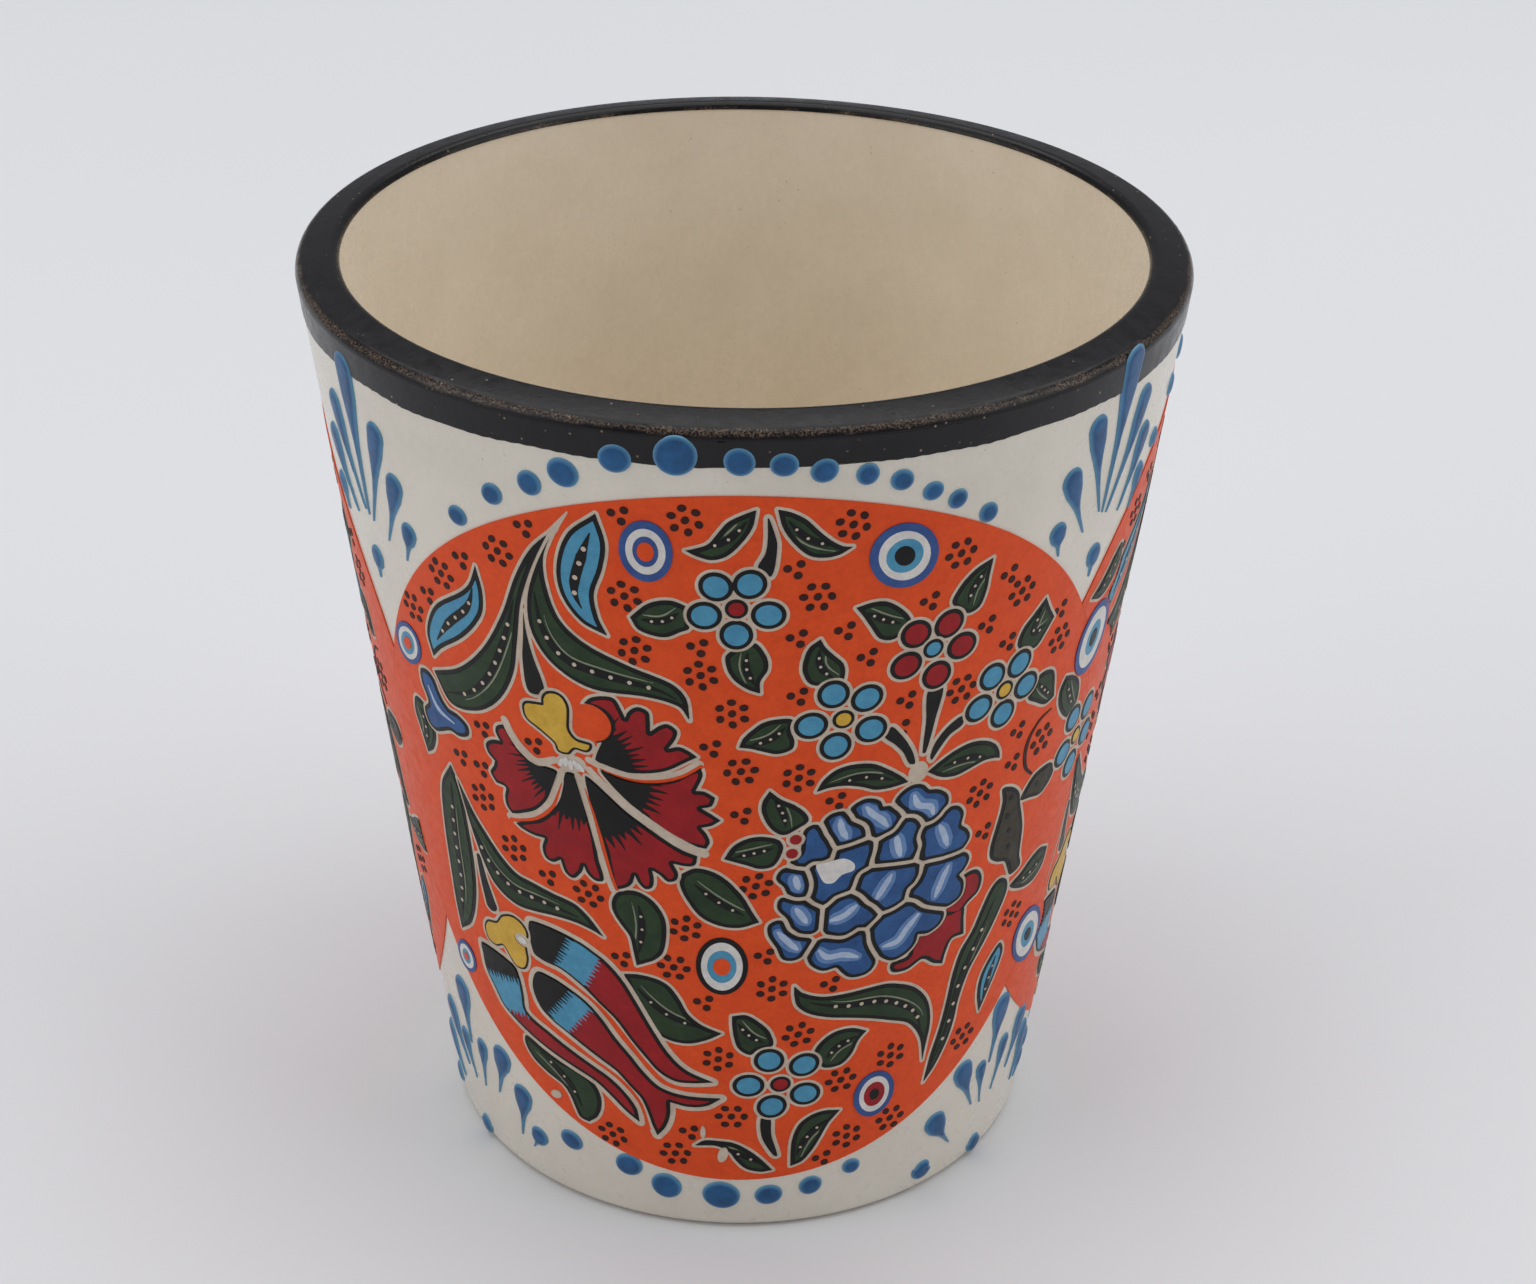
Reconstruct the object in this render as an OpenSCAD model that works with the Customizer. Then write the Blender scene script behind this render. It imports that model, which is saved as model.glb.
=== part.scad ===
// Small tapered ceramic cup with printed round medallions and raised enamel dots.
// Millimetres. Origin: centre of the foot plane, +Z up. The front medallion faces -Y.
// The ornament is laid out flat: x runs round the wall, y up it, and 0,0 is the middle
// of a medallion, half way up the cup.

/* [Cup] */
// Height of the cup
cup_h = 58; // [50:0.5:66]
// Outside diameter at the lip
lip_d = 52; // [48:0.5:56]
// Outside diameter at the foot
foot_d = 37; // [34:0.5:40]
// Thickness of the wall at the lip
lip_wall = 2.5; // [2:0.1:3.2]
// Thickness of the wall at the floor
floor_wall = 3.2; // [2.6:0.1:4]
// Height of the floor inside
floor_z = 5; // [4:0.5:7]
// Fillet between the floor and the wall inside
floor_fillet = 5; // [3:0.5:7]

/* [Foot] */
// Width of the foot ring
foot_ring_w = 3.5; // [2.5:0.5:5]
// Depth of the recess under the floor
recess_depth = 1; // [0.5:0.1:1.6]
// Height of the bare clay above the foot
bare_h = 1.2; // [1:0.1:3]

/* [Coats] */
// Thickness of the glaze
glaze_t = 0.25; // [0.15:0.01:0.3]
// Height of the black lip band
band_h = 2.5; // [2:0.1:4]
// How far the band stands out of the glaze
band_proud = 0.05; // [0.02:0.01:0.1]
// Thickness of the orange print
print_t = 0.08; // [0.05:0.01:0.12]
// Thickness of the ornament inks on the print
ink_t = 0.06; // [0.04:0.01:0.1]
// Height of the raised enamel drops
enamel_t = 0.35; // [0.2:0.05:0.5]

/* [Ornament] */
// Radius of a medallion
medallion_r = 25; // [22:0.5:25]
// Angle from the front medallion to the right one
right_az = 107; // [105:1:112]
// Angle from the front medallion to the left one
left_az = 119; // [116:1:122]

/* [Hidden] */
$fn = 96;

lip_r = lip_d / 2;
foot_r = foot_d / 2;
lip_in_r = lip_r - lip_wall;
floor_in_r = foot_r + (lip_r - foot_r) * floor_z / cup_h - floor_wall;
glaze_top = cup_h - band_proud;
band_z = cup_h - band_h;

// Angles of the wall from upright, outside and inside
taper = atan((lip_r - foot_r) / cup_h);
taper_in = atan((lip_in_r - floor_in_r) / (cup_h - floor_z));

// Rounding of the lip's two edges and of the foot's
lip_edge_r = 0.6;
lip_inner_edge_r = 0.45;
foot_edge_r = 0.8;
recess_draft = 0.5;

// The wall is a cone, which rolls out flat: distance of its middle from the apex
mid_r = (lip_r + foot_r) / 2;
mid_z = cup_h / 2;
mid_rho = mid_r / sin(taper);

// Spray axes lie half way between neighbouring medallions
right_spray_az = right_az / 2;
left_spray_az = -left_az / 2;
back_spray_az = 180 + (right_az - left_az) / 2;

// Ornament places are drawn for a medallion of this radius
drawn_r = 25;
art_scale = medallion_r / drawn_r;

// Outside and inside radius of the glazed wall at a height
function outer_r(z) = foot_r + z * tan(taper);
function inner_r(z) = lip_in_r - (cup_h - z) * tan(taper_in);

function arc(c, r, a0, a1, n) = [for (i = [0:n]) let (a = a0 + (a1 - a0) * i / n) c + r * [cos(a), sin(a)]];

// Centres of the roundings, which every coat shares
lip_c = [outer_r(glaze_top - lip_edge_r) - lip_edge_r / cos(taper), glaze_top - lip_edge_r];
lip_inner_c = [
    inner_r(glaze_top - lip_inner_edge_r) + lip_inner_edge_r / cos(taper_in),
    glaze_top - lip_inner_edge_r
];
floor_c = [inner_r(floor_z + floor_fillet) - floor_fillet / cos(taper_in), floor_z + floor_fillet];
foot_c = [outer_r(foot_edge_r) - foot_edge_r / cos(taper), foot_edge_r];

// Half sections at a depth d under the glazed surface
function lip_line(d) = concat(
    arc(lip_c, lip_edge_r - d, -taper, 90, 5),
    arc(lip_inner_c, lip_inner_edge_r - d, 90, 180 - taper_in, 4)
);
function cavity_line(d) = concat(
    [lip_inner_c + (lip_inner_edge_r - d) * [-cos(taper_in), sin(taper_in)]],
    arc(floor_c, floor_fillet + d, -taper_in, -90, 6),
    [[0, floor_z - d]]
);
function reversed(p) = [for (i = [len(p) - 1:-1:0]) p[i]];

// The wall between two heights, from d0 to d1 outside the glazed surface
module wall_shell(d0, d1, z0, z1) {
    rotate_extrude()
        polygon([
            [outer_r(z0) + d0 / cos(taper), z0],
            [outer_r(z0) + d1 / cos(taper), z0],
            [outer_r(z1) + d1 / cos(taper), z1],
            [outer_r(z1) + d0 / cos(taper), z1]
        ]);
}

// Everything inside the finished glaze, cavity and all
module envelope() {
    rotate_extrude()
        polygon([
            [0, 0],
            [outer_r(0), 0],
            [outer_r(band_z), band_z],
            [outer_r(band_z) + band_proud / cos(taper), band_z],
            [outer_r(cup_h) + band_proud / cos(taper), cup_h],
            [0, cup_h]
        ]);
}

// Flat ornament coordinates to the cone: distance from the apex, azimuth, radius, height
function rho(p) = norm([p.x, mid_rho + p.y]);
function azimuth(p) = atan2(p.x, mid_rho + p.y) / sin(taper);
function wall_r(p) = rho(p) * sin(taper);
function wall_z(p) = mid_z + (rho(p) - mid_rho) * cos(taper);
// A flat point as seen square-on from azimuth a
function seen(p, a) = [wall_r(p) * sin(azimuth(p) - a), wall_z(p)];
function mean(points) = [for (p = points) 1] * points / len(points);

// A straight cutter through the front of the wall with a flat outline
module cutter(points, a) {
    rotate([90, 0, a])
        translate([0, 0, 8])
            linear_extrude(22)
                polygon([for (p = points) seen(p, a)]);
}

// A thin patch on the wall with a flat outline, from d0 to d1 above the glaze
module patch(points, d0, d1) {
    intersection() {
        wall_shell(d0, d1, 1, cup_h - 0.2);
        cutter(points, azimuth(mean(points)));
    }
}

module ink(points) { patch(art_scale * points, print_t, print_t + ink_t); }

// Outline of a drop with a round head of radius r at a, tapering to the point b
function drop(a, b, r) = let (
    d = b - a,
    along = atan2(d.y, d.x),
    tip = asin(min(0.95, r / norm(d)))
) concat(arc(a, r, along + 90 - tip, along + 270 + tip, 10), [b]);

function ellipse(c, rx, ry, turn, n) = [
    for (i = [0:n - 1]) let (a = 360 * i / n)
        c + [
            rx * cos(a) * cos(turn) - ry * sin(a) * sin(turn),
            rx * cos(a) * sin(turn) + ry * sin(a) * cos(turn)
        ]
];

// Outline of a leaf from a to b: w is its greatest width, bend how far its middle
// bows to the left of the line from a to b
function leaf(a, b, w, bend) = let (
    d = b - a,
    side = [-d.y, d.x] / norm(d),
    steps = 6,
    spine = function (t) a + d * t + side * 4 * bend * t * (1 - t)
) concat(
    [for (i = [0:steps]) let (t = i / steps) spine(t) + side * w / 2 * sin(180 * t)],
    [for (i = [steps - 1:-1:1]) let (t = i / steps) spine(t) - side * w / 2 * sin(180 * t)]
);

// Outline of a blossom with five round petals
function blossom(c, r) = [
    for (i = [0:29]) let (a = 12 * i) c + r * (0.85 + 0.15 * cos(5 * a)) * [cos(a), sin(a)]
];

// [tip, tip, width, bend] of each leaf and stem
LEAVES = [
    [[-10.3, 21.5], [-19.5, 7.6], 4, -1.6],
    [[-10.5, 20.5], [-3, 10.7], 3, -4.6],
    [[-12.4, 15], [-11.8, 9.8], 1, 0],
    [[0.6, 24.2], [-3, 21.3], 1.7, 0.4],
    [[1.9, 24.2], [5.7, 21.5], 1.7, -0.4],
    [[1.4, 23.6], [1.4, 20.4], 0.7, 0.2],
    [[-6, 16.6], [-2.9, 17.6], 2.2, 0.3],
    [[0.4, 15.1], [0.8, 12.3], 2.2, -0.5],
    [[6.3, 17.5], [9, 15.6], 2.2, 0.3],
    [[12, 15.9], [14.1, 18.2], 2.4, 0.2],
    [[4.3, 15.7], [4.7, 12.9], 2.2, -0.5],
    [[0.2, 8.8], [3.4, 9.6], 2.2, 0.3],
    [[18.6, 14], [17, 11.3], 2.2, 0],
    [[18.2, 8], [19.8, 5.8], 2.2, 0],
    [[4.3, 5.3], [9.4, 4.9], 2, 1],
    [[15.6, 4.4], [11, 5.1], 2, -1],
    [[1.6, 5.5], [3.6, 2.6], 2.4, 0],
    [[-0.8, 0.6], [2.3, 1.2], 2.4, 0.3],
    [[-3.5, -0.8], [0.9, -3.9], 3, 0],
    [[-6.5, -2.8], [-6, -8], 3, 0.3],
    [[-18.8, 1], [-18.8, -12.6], 3.4, 0],
    [[-18, 0], [-7.8, -6.6], 3, -3],
    [[-6.6, -9], [-1, -12.8], 3, 0.4],
    [[-14, -17.8], [-9.6, -21.8], 2.4, 1.4],
    [[-0.3, -11.4], [1.6, -14.3], 2, 0.3],
    [[7.6, -13.7], [4.9, -15.9], 2, -0.3],
    [[3.2, -9.2], [12.2, -18.6], 2.6, 3.2],
    [[17.6, -5.6], [12.8, -18.6], 3, 0],
    [[-2.4, -21.9], [1.9, -24], 1.4, 0.6],
    [[6, -19.8], [3.4, -23.6], 1.6, -0.3],
    [[1.7, -19.9], [2.1, -22.6], 0.6, 0]
];
// [centre, radius] of each blossom
BLOSSOMS = [
    [[-0.4, 18], 2.7],
    [[10.6, 13.7], 2.7],
    [[5.5, 10.1], 2.7],
    [[15.7, 8.8], 2.6],
    [[2.4, -17], 2.6],
    [[-19.3, 5.4], 2.2]
];
// [centre, radius across, radius up, turn] of each eye bead
BEADS = [
    [[-5.1, 21.2], 1.4, 1.9, 0],
    [[8.8, 20.4], 1.8, 2.1, 30],
    [[-22, 8.5], 1.3, 1.6, -20],
    [[-1, -7.4], 1.5, 2.1, 0],
    [[8.4, -19.4], 1.4, 1.9, 10],
    [[20.6, -7.6], 1.3, 1.5, 0]
];
// [head, tip, radius] of the drops in a spray above, x measured from its axis
UPPER_SPRAY = [
    [[0, 25.6], [0, 17.5], 1.25],
    [[2.6, 23.2], [0.8, 17.3], 1.1],
    [[-2.6, 23.2], [-0.8, 17.3], 1.1],
    [[4, 20.2], [2.3, 15.9], 1],
    [[-4, 20.2], [-2.3, 15.9], 1],
    [[4.8, 17.2], [4.1, 15], 0.85],
    [[-4.8, 17.2], [-4.1, 15], 0.85]
];
// The same for a spray below
LOWER_SPRAY = [
    [[0, -19], [0, -26], 1.1],
    [[4.2, -21.4], [3, -25.5], 0.95],
    [[-4.2, -21.4], [-3, -25.5], 0.95],
    [[5.7, -23.6], [4.9, -27.2], 0.9],
    [[-5.7, -23.6], [-4.9, -27.2], 0.9]
];
// [x, y, radius] of the dots in the arc above a medallion
UPPER_DOTS = [
    [-16.6, 20.2, 0.65],
    [-13.9, 22.5, 0.65],
    [-11.6, 24, 0.75],
    [-9.6, 25.2, 0.85],
    [-6.7, 26.6, 0.85],
    [-3.5, 27.2, 1.1],
    [-0.2, 27, 0.8],
    [2.1, 26.8, 0.7],
    [4.2, 26.4, 0.7],
    [6.5, 25.9, 0.65],
    [8.4, 25.2, 0.65],
    [10.2, 24.1, 0.6],
    [11.7, 23.2, 0.6],
    [13.8, 21.8, 0.6]
];
// The same for the arc below it
LOWER_DOTS = [
    [-10.9, -24.8, 0.75],
    [-6.9, -25.3, 0.8],
    [-4.4, -26.3, 0.95],
    [-1, -26.5, 1.05],
    [1.9, -26.5, 0.8],
    [4.5, -26.1, 0.7],
    [7.1, -25.3, 0.6]
];

// The carnation: a fan of five toothed petals round the calyx
carnation_c = [-9.7, 6];
module carnation_art() {
    for (i = [0:4])
        let (a0 = 58 - 60 * i, teeth = 5)
            ink(concat(
                [carnation_c + 1.2 * [cos(a0 - 25), sin(a0 - 25)]],
                [
                    for (k = [0:2 * teeth])
                        carnation_c + (k % 2 == 0 ? 7 : 8.3) * [cos(a0 - 5 * k), sin(a0 - 5 * k)]
                ]
            ));
    ink(leaf(carnation_c + [0, 1], carnation_c + [-1, 4.4], 2.6, 0));
}

// The tulip: three long petals that sweep down to the right from a calyx
module tulip_art() {
    ink(leaf([-12.8, -8.8], [-1.9, -16.8], 2.6, 1.6));
    ink(leaf([-13.4, -12], [-3.6, -20.4], 3, 1.4));
    ink(leaf([-16.2, -12.2], [-6.2, -20.8], 2.6, -0.4));
    ink(ellipse([-14.9, -9.5], 1.8, 1.5, 0, 12));
}

// The peony: a scalloped ball of petals
peony_c = [7.8, -2];
module peony_art() {
    scallops = 11;
    ink([
        for (i = [0:4 * scallops - 1])
            let (a = 90 * i / scallops)
                peony_c + (5.7 + 0.35 * cos(scallops * a)) * [cos(a), sin(a)]
    ]);
}

module leaves_art() {
    for (l = LEAVES)
        ink(leaf(l[0], l[1], l[2], l[3]));
}
module blossoms_art() {
    for (b = BLOSSOMS)
        ink(blossom(b[0], b[1]));
}
module beads_art() {
    for (b = BEADS)
        ink(ellipse(b[0], b[1], b[2], b[3], 16));
}

// The edge of the front medallion, which cuts off its neighbours where they meet
medallion_edge = [for (i = [0:71]) medallion_r * [cos(5 * i), sin(5 * i)]];
module side_art(a) {
    difference() {
        rotate([0, 0, a])
            children();
        cutter(medallion_edge, 0);
    }
}

module medallion_print() { patch(medallion_edge, 0, print_t); }

module dot_arc(dots) {
    difference() {
        for (d = dots)
            patch(art_scale * ellipse([d[0], d[1]], d[2], d[2], 0, 16), -0.1, enamel_t);
        envelope();
    }
}

module spray(drops, a) {
    rotate([0, 0, a])
        difference() {
            for (d = drops)
                patch(art_scale * drop(d[0], d[1], d[2]), -0.1, enamel_t);
            envelope();
        }
}

module clay_body() {
    color("burlywood")
        rotate_extrude()
            polygon(concat(
                [
                    [0, recess_depth],
                    [foot_r - foot_ring_w - recess_draft, recess_depth],
                    [foot_r - foot_ring_w, 0]
                ],
                arc(foot_c, foot_edge_r, -90, -taper, 5),
                [
                    [outer_r(bare_h), bare_h],
                    [outer_r(bare_h) - glaze_t / cos(taper), bare_h]
                ],
                lip_line(glaze_t),
                cavity_line(glaze_t)
            ));
}

module outer_glaze() {
    color("ivory")
        wall_shell(-glaze_t, 0, bare_h, band_z);
}

module inner_glaze() {
    color("tan")
        rotate_extrude()
            polygon(concat(cavity_line(0), reversed(cavity_line(glaze_t))));
}

module rim_band() {
    color("#1c1a1b")
        rotate_extrude()
            polygon(concat(
                [
                    [outer_r(band_z) - glaze_t / cos(taper), band_z],
                    [outer_r(band_z) + band_proud / cos(taper), band_z]
                ],
                lip_line(-band_proud),
                reversed(lip_line(glaze_t))
            ));
}

module medallion_front() { color("orangered") medallion_print(); }
module medallion_right() { color("orangered") side_art(right_az) medallion_print(); }
module medallion_left() { color("orangered") side_art(-left_az) medallion_print(); }

module leaves_front() { color("darkgreen") leaves_art(); }
module leaves_right() { color("darkgreen") side_art(right_az) leaves_art(); }
module leaves_left() { color("darkgreen") side_art(-left_az) leaves_art(); }

module blossoms_front() { color("skyblue") blossoms_art(); }
module blossoms_right() { color("skyblue") side_art(right_az) blossoms_art(); }
module blossoms_left() { color("skyblue") side_art(-left_az) blossoms_art(); }

module carnation_front() { color("firebrick") carnation_art(); }
module carnation_right() { color("firebrick") side_art(right_az) carnation_art(); }
module carnation_left() { color("firebrick") side_art(-left_az) carnation_art(); }

module tulip_front() { color("crimson") tulip_art(); }
module tulip_right() { color("crimson") side_art(right_az) tulip_art(); }
module tulip_left() { color("crimson") side_art(-left_az) tulip_art(); }

module peony_front() { color("royalblue") peony_art(); }
module peony_right() { color("royalblue") side_art(right_az) peony_art(); }
module peony_left() { color("royalblue") side_art(-left_az) peony_art(); }

module beads_front() { color("white") beads_art(); }
module beads_right() { color("white") side_art(right_az) beads_art(); }
module beads_left() { color("white") side_art(-left_az) beads_art(); }

module upper_dots_front() { color("steelblue") dot_arc(UPPER_DOTS); }
module upper_dots_right() { color("steelblue") rotate([0, 0, right_az]) dot_arc(UPPER_DOTS); }
module upper_dots_left() { color("steelblue") rotate([0, 0, -left_az]) dot_arc(UPPER_DOTS); }

module lower_dots_front() { color("steelblue") dot_arc(LOWER_DOTS); }
module lower_dots_right() { color("steelblue") rotate([0, 0, right_az]) dot_arc(LOWER_DOTS); }
module lower_dots_left() { color("steelblue") rotate([0, 0, -left_az]) dot_arc(LOWER_DOTS); }

module upper_spray_right() { color("steelblue") spray(UPPER_SPRAY, right_spray_az); }
module upper_spray_left() { color("steelblue") spray(UPPER_SPRAY, left_spray_az); }
module upper_spray_back() { color("steelblue") spray(UPPER_SPRAY, back_spray_az); }

module lower_spray_right() { color("steelblue") spray(LOWER_SPRAY, right_spray_az); }
module lower_spray_left() { color("steelblue") spray(LOWER_SPRAY, left_spray_az); }
module lower_spray_back() { color("steelblue") spray(LOWER_SPRAY, back_spray_az); }

clay_body();
outer_glaze();
inner_glaze();
rim_band();
medallion_front();
medallion_right();
medallion_left();
leaves_front();
leaves_right();
leaves_left();
blossoms_front();
blossoms_right();
blossoms_left();
carnation_front();
carnation_right();
carnation_left();
tulip_front();
tulip_right();
tulip_left();
peony_front();
peony_right();
peony_left();
beads_front();
beads_right();
beads_left();
upper_dots_front();
upper_dots_right();
upper_dots_left();
lower_dots_front();
lower_dots_right();
lower_dots_left();
upper_spray_right();
upper_spray_left();
upper_spray_back();
lower_spray_right();
lower_spray_left();
lower_spray_back();
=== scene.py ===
"""The looks of the decorated ceramic shot cup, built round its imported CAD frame.

The ornament is drawn flat, as the rolled-out wall: millimetres, x round the wall, y up it,
and 0,0 in the middle of a medallion. Everything handed to Blender is in metres.
"""

import math

import bpy
import numpy as np
from mathutils import Matrix, Vector
from mathutils.geometry import delaunay_2d_cdt


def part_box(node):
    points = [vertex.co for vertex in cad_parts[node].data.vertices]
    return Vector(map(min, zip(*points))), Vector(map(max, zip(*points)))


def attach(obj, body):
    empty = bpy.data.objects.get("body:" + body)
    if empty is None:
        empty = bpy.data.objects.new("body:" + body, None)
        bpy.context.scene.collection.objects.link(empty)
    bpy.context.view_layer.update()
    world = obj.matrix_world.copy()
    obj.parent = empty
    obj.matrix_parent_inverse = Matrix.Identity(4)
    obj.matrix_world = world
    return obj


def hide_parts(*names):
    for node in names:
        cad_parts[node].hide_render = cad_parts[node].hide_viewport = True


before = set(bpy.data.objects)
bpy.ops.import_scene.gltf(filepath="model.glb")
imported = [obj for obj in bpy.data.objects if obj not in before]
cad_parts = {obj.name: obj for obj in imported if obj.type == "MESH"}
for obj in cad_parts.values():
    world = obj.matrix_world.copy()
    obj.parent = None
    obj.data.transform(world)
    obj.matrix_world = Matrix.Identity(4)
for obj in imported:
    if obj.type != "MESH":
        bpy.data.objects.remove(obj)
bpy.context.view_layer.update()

MM = 0.001

# ---------------------------------------------------------------- the cup's measures


def radius_at(node, z):
    """The greatest radius, in mm, of a CAD node's vertices at the height z in metres."""
    co = np.array([v.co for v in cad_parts[node].data.vertices])
    level = co[np.abs(co[:, 2] - z) < 0.01 * MM]
    return np.hypot(level[:, 0], level[:, 1]).max() / MM


# The wall is a cone that the outside glaze follows; lengths are in mm, measured off the frame
glaze_low, glaze_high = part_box("outer_glaze")
rim_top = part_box("rim_band")[1].z
bare_z = glaze_low.z / MM
band_z = glaze_high.z / MM
cup_h = rim_top / MM
glaze_low_r = radius_at("outer_glaze", glaze_low.z)
glaze_high_r = radius_at("outer_glaze", glaze_high.z)
slope = (glaze_high_r - glaze_low_r) / (band_z - bare_z)
taper = math.atan(slope)
foot_r = glaze_low_r - slope * bare_z
mid_z = cup_h / 2
# The rolled-out wall is part of a ring: its radius at the middle of the height
mid_rho = (foot_r + slope * mid_z) / math.sin(taper)

# The same as in part.scad, but for LIP_FALL
LIP_WALL = 2.5
FLOOR_WALL = 3.2
FLOOR_Z = 5.0
FLOOR_FILLET = 5.0
FOOT_RING_W = 3.5
RECESS_DEPTH = 1.0
RECESS_DRAFT = 0.5
GLAZE_T = 0.25
BAND_PROUD = 0.05
LIP_EDGE_R = 0.6
LIP_INNER_EDGE_R = 0.45
LIP_FALL = 0.25  # how much lower the top of the lip lies at its outer edge than at its inner one
FOOT_EDGE_R = 0.8
MEDALLION_R = 25.0
RIGHT_AZ = 107.0
LEFT_AZ = -119.0
RIGHT_SPRAY_AZ = RIGHT_AZ / 2
LEFT_SPRAY_AZ = LEFT_AZ / 2
BACK_SPRAY_AZ = 180 + (RIGHT_AZ + LEFT_AZ) / 2

glaze_top = cup_h - BAND_PROUD
lip_in_r = foot_r + slope * cup_h - LIP_WALL
floor_in_r = foot_r + slope * FLOOR_Z - FLOOR_WALL
taper_in = math.atan((lip_in_r - floor_in_r) / (cup_h - FLOOR_Z))


def outer_r(z):
    return foot_r + z * slope


def inner_r(z):
    return lip_in_r - (cup_h - z) * math.tan(taper_in)


def on_wall(flat, lift, turn=0.0):
    """Flat points (n, 2) to the wall, lifted off the glaze by lift mm and turned by turn degrees."""
    u, v = flat[:, 0], flat[:, 1] + mid_rho
    rho = np.hypot(u, v)
    azimuth = np.arctan2(u, v) / math.sin(taper) + math.radians(turn)
    r = rho * math.sin(taper) + lift * math.cos(taper)
    z = mid_z + (rho - mid_rho) * math.cos(taper) - lift * math.sin(taper)
    return np.stack([r * np.sin(azimuth), -r * np.cos(azimuth), z], 1) * MM


# ---------------------------------------------------------------- materials


class Nodes:
    """A material's node tree with a Principled shader, and short ways to add nodes to it."""

    def __init__(self, name):
        self.material = bpy.data.materials.new(name)
        self.material.use_nodes = True
        self.tree = self.material.node_tree
        self.shader = self.tree.nodes["Principled BSDF"]
        self.place = self.add("ShaderNodeTexCoord").outputs["Object"]

    def add(self, kind, **settings):
        node = self.tree.nodes.new(kind)
        for key, value in settings.items():
            setattr(node, key, value)
        return node

    def feed(self, socket, value):
        if isinstance(value, bpy.types.NodeSocket):
            self.tree.links.new(value, socket)
        else:
            socket.default_value = value

    def set(self, **values):
        """Sets or links the shader's sockets; an underscore stands for a space."""
        for key, value in values.items():
            self.feed(self.shader.inputs[key.replace("_", " ")], value)

    def noise(self, scale, detail=2.0, roughness=0.5):
        """Noise with features of about 1 / scale metres, from 0 to 1."""
        node = self.add("ShaderNodeTexNoise")
        self.feed(node.inputs["Vector"], self.place)
        node.inputs["Scale"].default_value = scale
        node.inputs["Detail"].default_value = detail
        node.inputs["Roughness"].default_value = roughness
        return node.outputs["Fac"]

    def cells(self, scale):
        """The distance to the nearest of scattered points, about 1 / scale metres apart."""
        node = self.add("ShaderNodeTexVoronoi")
        self.feed(node.inputs["Vector"], self.place)
        node.inputs["Scale"].default_value = scale
        return node.outputs["Distance"]

    def attribute(self, name):
        return self.add("ShaderNodeAttribute", attribute_name=name).outputs["Fac"]

    def ramp(self, factor, *stops):
        """Maps factor through stops of (position, value or colour)."""
        node = self.add("ShaderNodeValToRGB")
        elements = node.color_ramp.elements
        while len(elements) < len(stops):
            elements.new(0.5)
        for element, (position, value) in zip(elements, stops):
            element.position = position
            element.color = (*value, 1) if isinstance(value, tuple) else (value, value, value, 1)
        self.feed(node.inputs["Fac"], factor)
        return node.outputs["Color"]

    def mix(self, factor, a, b, blend="MIX"):
        node = self.add("ShaderNodeMix", data_type="RGBA", blend_type=blend)
        self.feed(node.inputs["Factor"], factor)
        for socket, value in ((node.inputs["A"], a), (node.inputs["B"], b)):
            self.feed(socket, (*value, 1) if isinstance(value, tuple) else value)
        return node.outputs["Result"]

    def scaled(self, value, by, plus=0.0):
        node = self.add("ShaderNodeMath", operation="MULTIPLY_ADD")
        self.feed(node.inputs[0], value)
        node.inputs[1].default_value = by
        node.inputs[2].default_value = plus
        return node.outputs[0]

    def bump(self, height, distance, strength=1.0, normal=None):
        """A bump of distance metres where height goes from 0 to 1."""
        node = self.add("ShaderNodeBump")
        node.inputs["Strength"].default_value = strength
        node.inputs["Distance"].default_value = distance
        self.feed(node.inputs["Height"], height)
        if normal is not None:
            self.feed(node.inputs["Normal"], normal)
        return node.outputs["Normal"]


def linear(r, g, b):
    """A colour given as 0-255 sRGB, for a shader."""
    return tuple(
        c / 255 / 12.92 if c < 10.32 else ((c / 255 + 0.055) / 1.055) ** 2.4 for c in (r, g, b)
    )


# ---------------------------------------------------------------- flat shapes

CELL = 0.05  # the pitch of the grids, in mm
REACH = 0.9  # how far from a shape its distances are worked out
CURVE_STEP = 0.22  # the greatest step along a smooth curve
S = True  # marks a sharp corner in an outline


def smooth(points, closed=True):
    """A smooth curve through points, which stays sharp at those marked S."""
    p = np.array([q[:2] for q in points], float)
    sharp = [len(q) > 2 for q in points]
    n = len(p)
    if not closed:
        sharp[0] = sharp[-1] = True
    curve = []
    for i in range(n if closed else n - 1):
        j = (i + 1) % n
        step = p[j] - p[i]
        length = math.hypot(*step)
        ends = []
        for k, before, after in ((i, i - 1, j), (j, i, (j + 1) % n)):
            if sharp[k]:
                ends.append(step)
            else:
                span = math.dist(p[before], p[k]) + math.dist(p[k], p[after])
                ends.append((p[after] - p[before]) / span * length)
        t = np.linspace(0, 1, max(2, math.ceil(length / CURVE_STEP)), endpoint=False)[:, None]
        curve.append(
            (2 * t**3 - 3 * t**2 + 1) * p[i]
            + (t**3 - 2 * t**2 + t) * ends[0]
            + (3 * t**2 - 2 * t**3) * p[j]
            + (t**3 - t**2) * ends[1]
        )
    if not closed:
        curve.append(p[-1:])
    return np.concatenate(curve)


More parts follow.
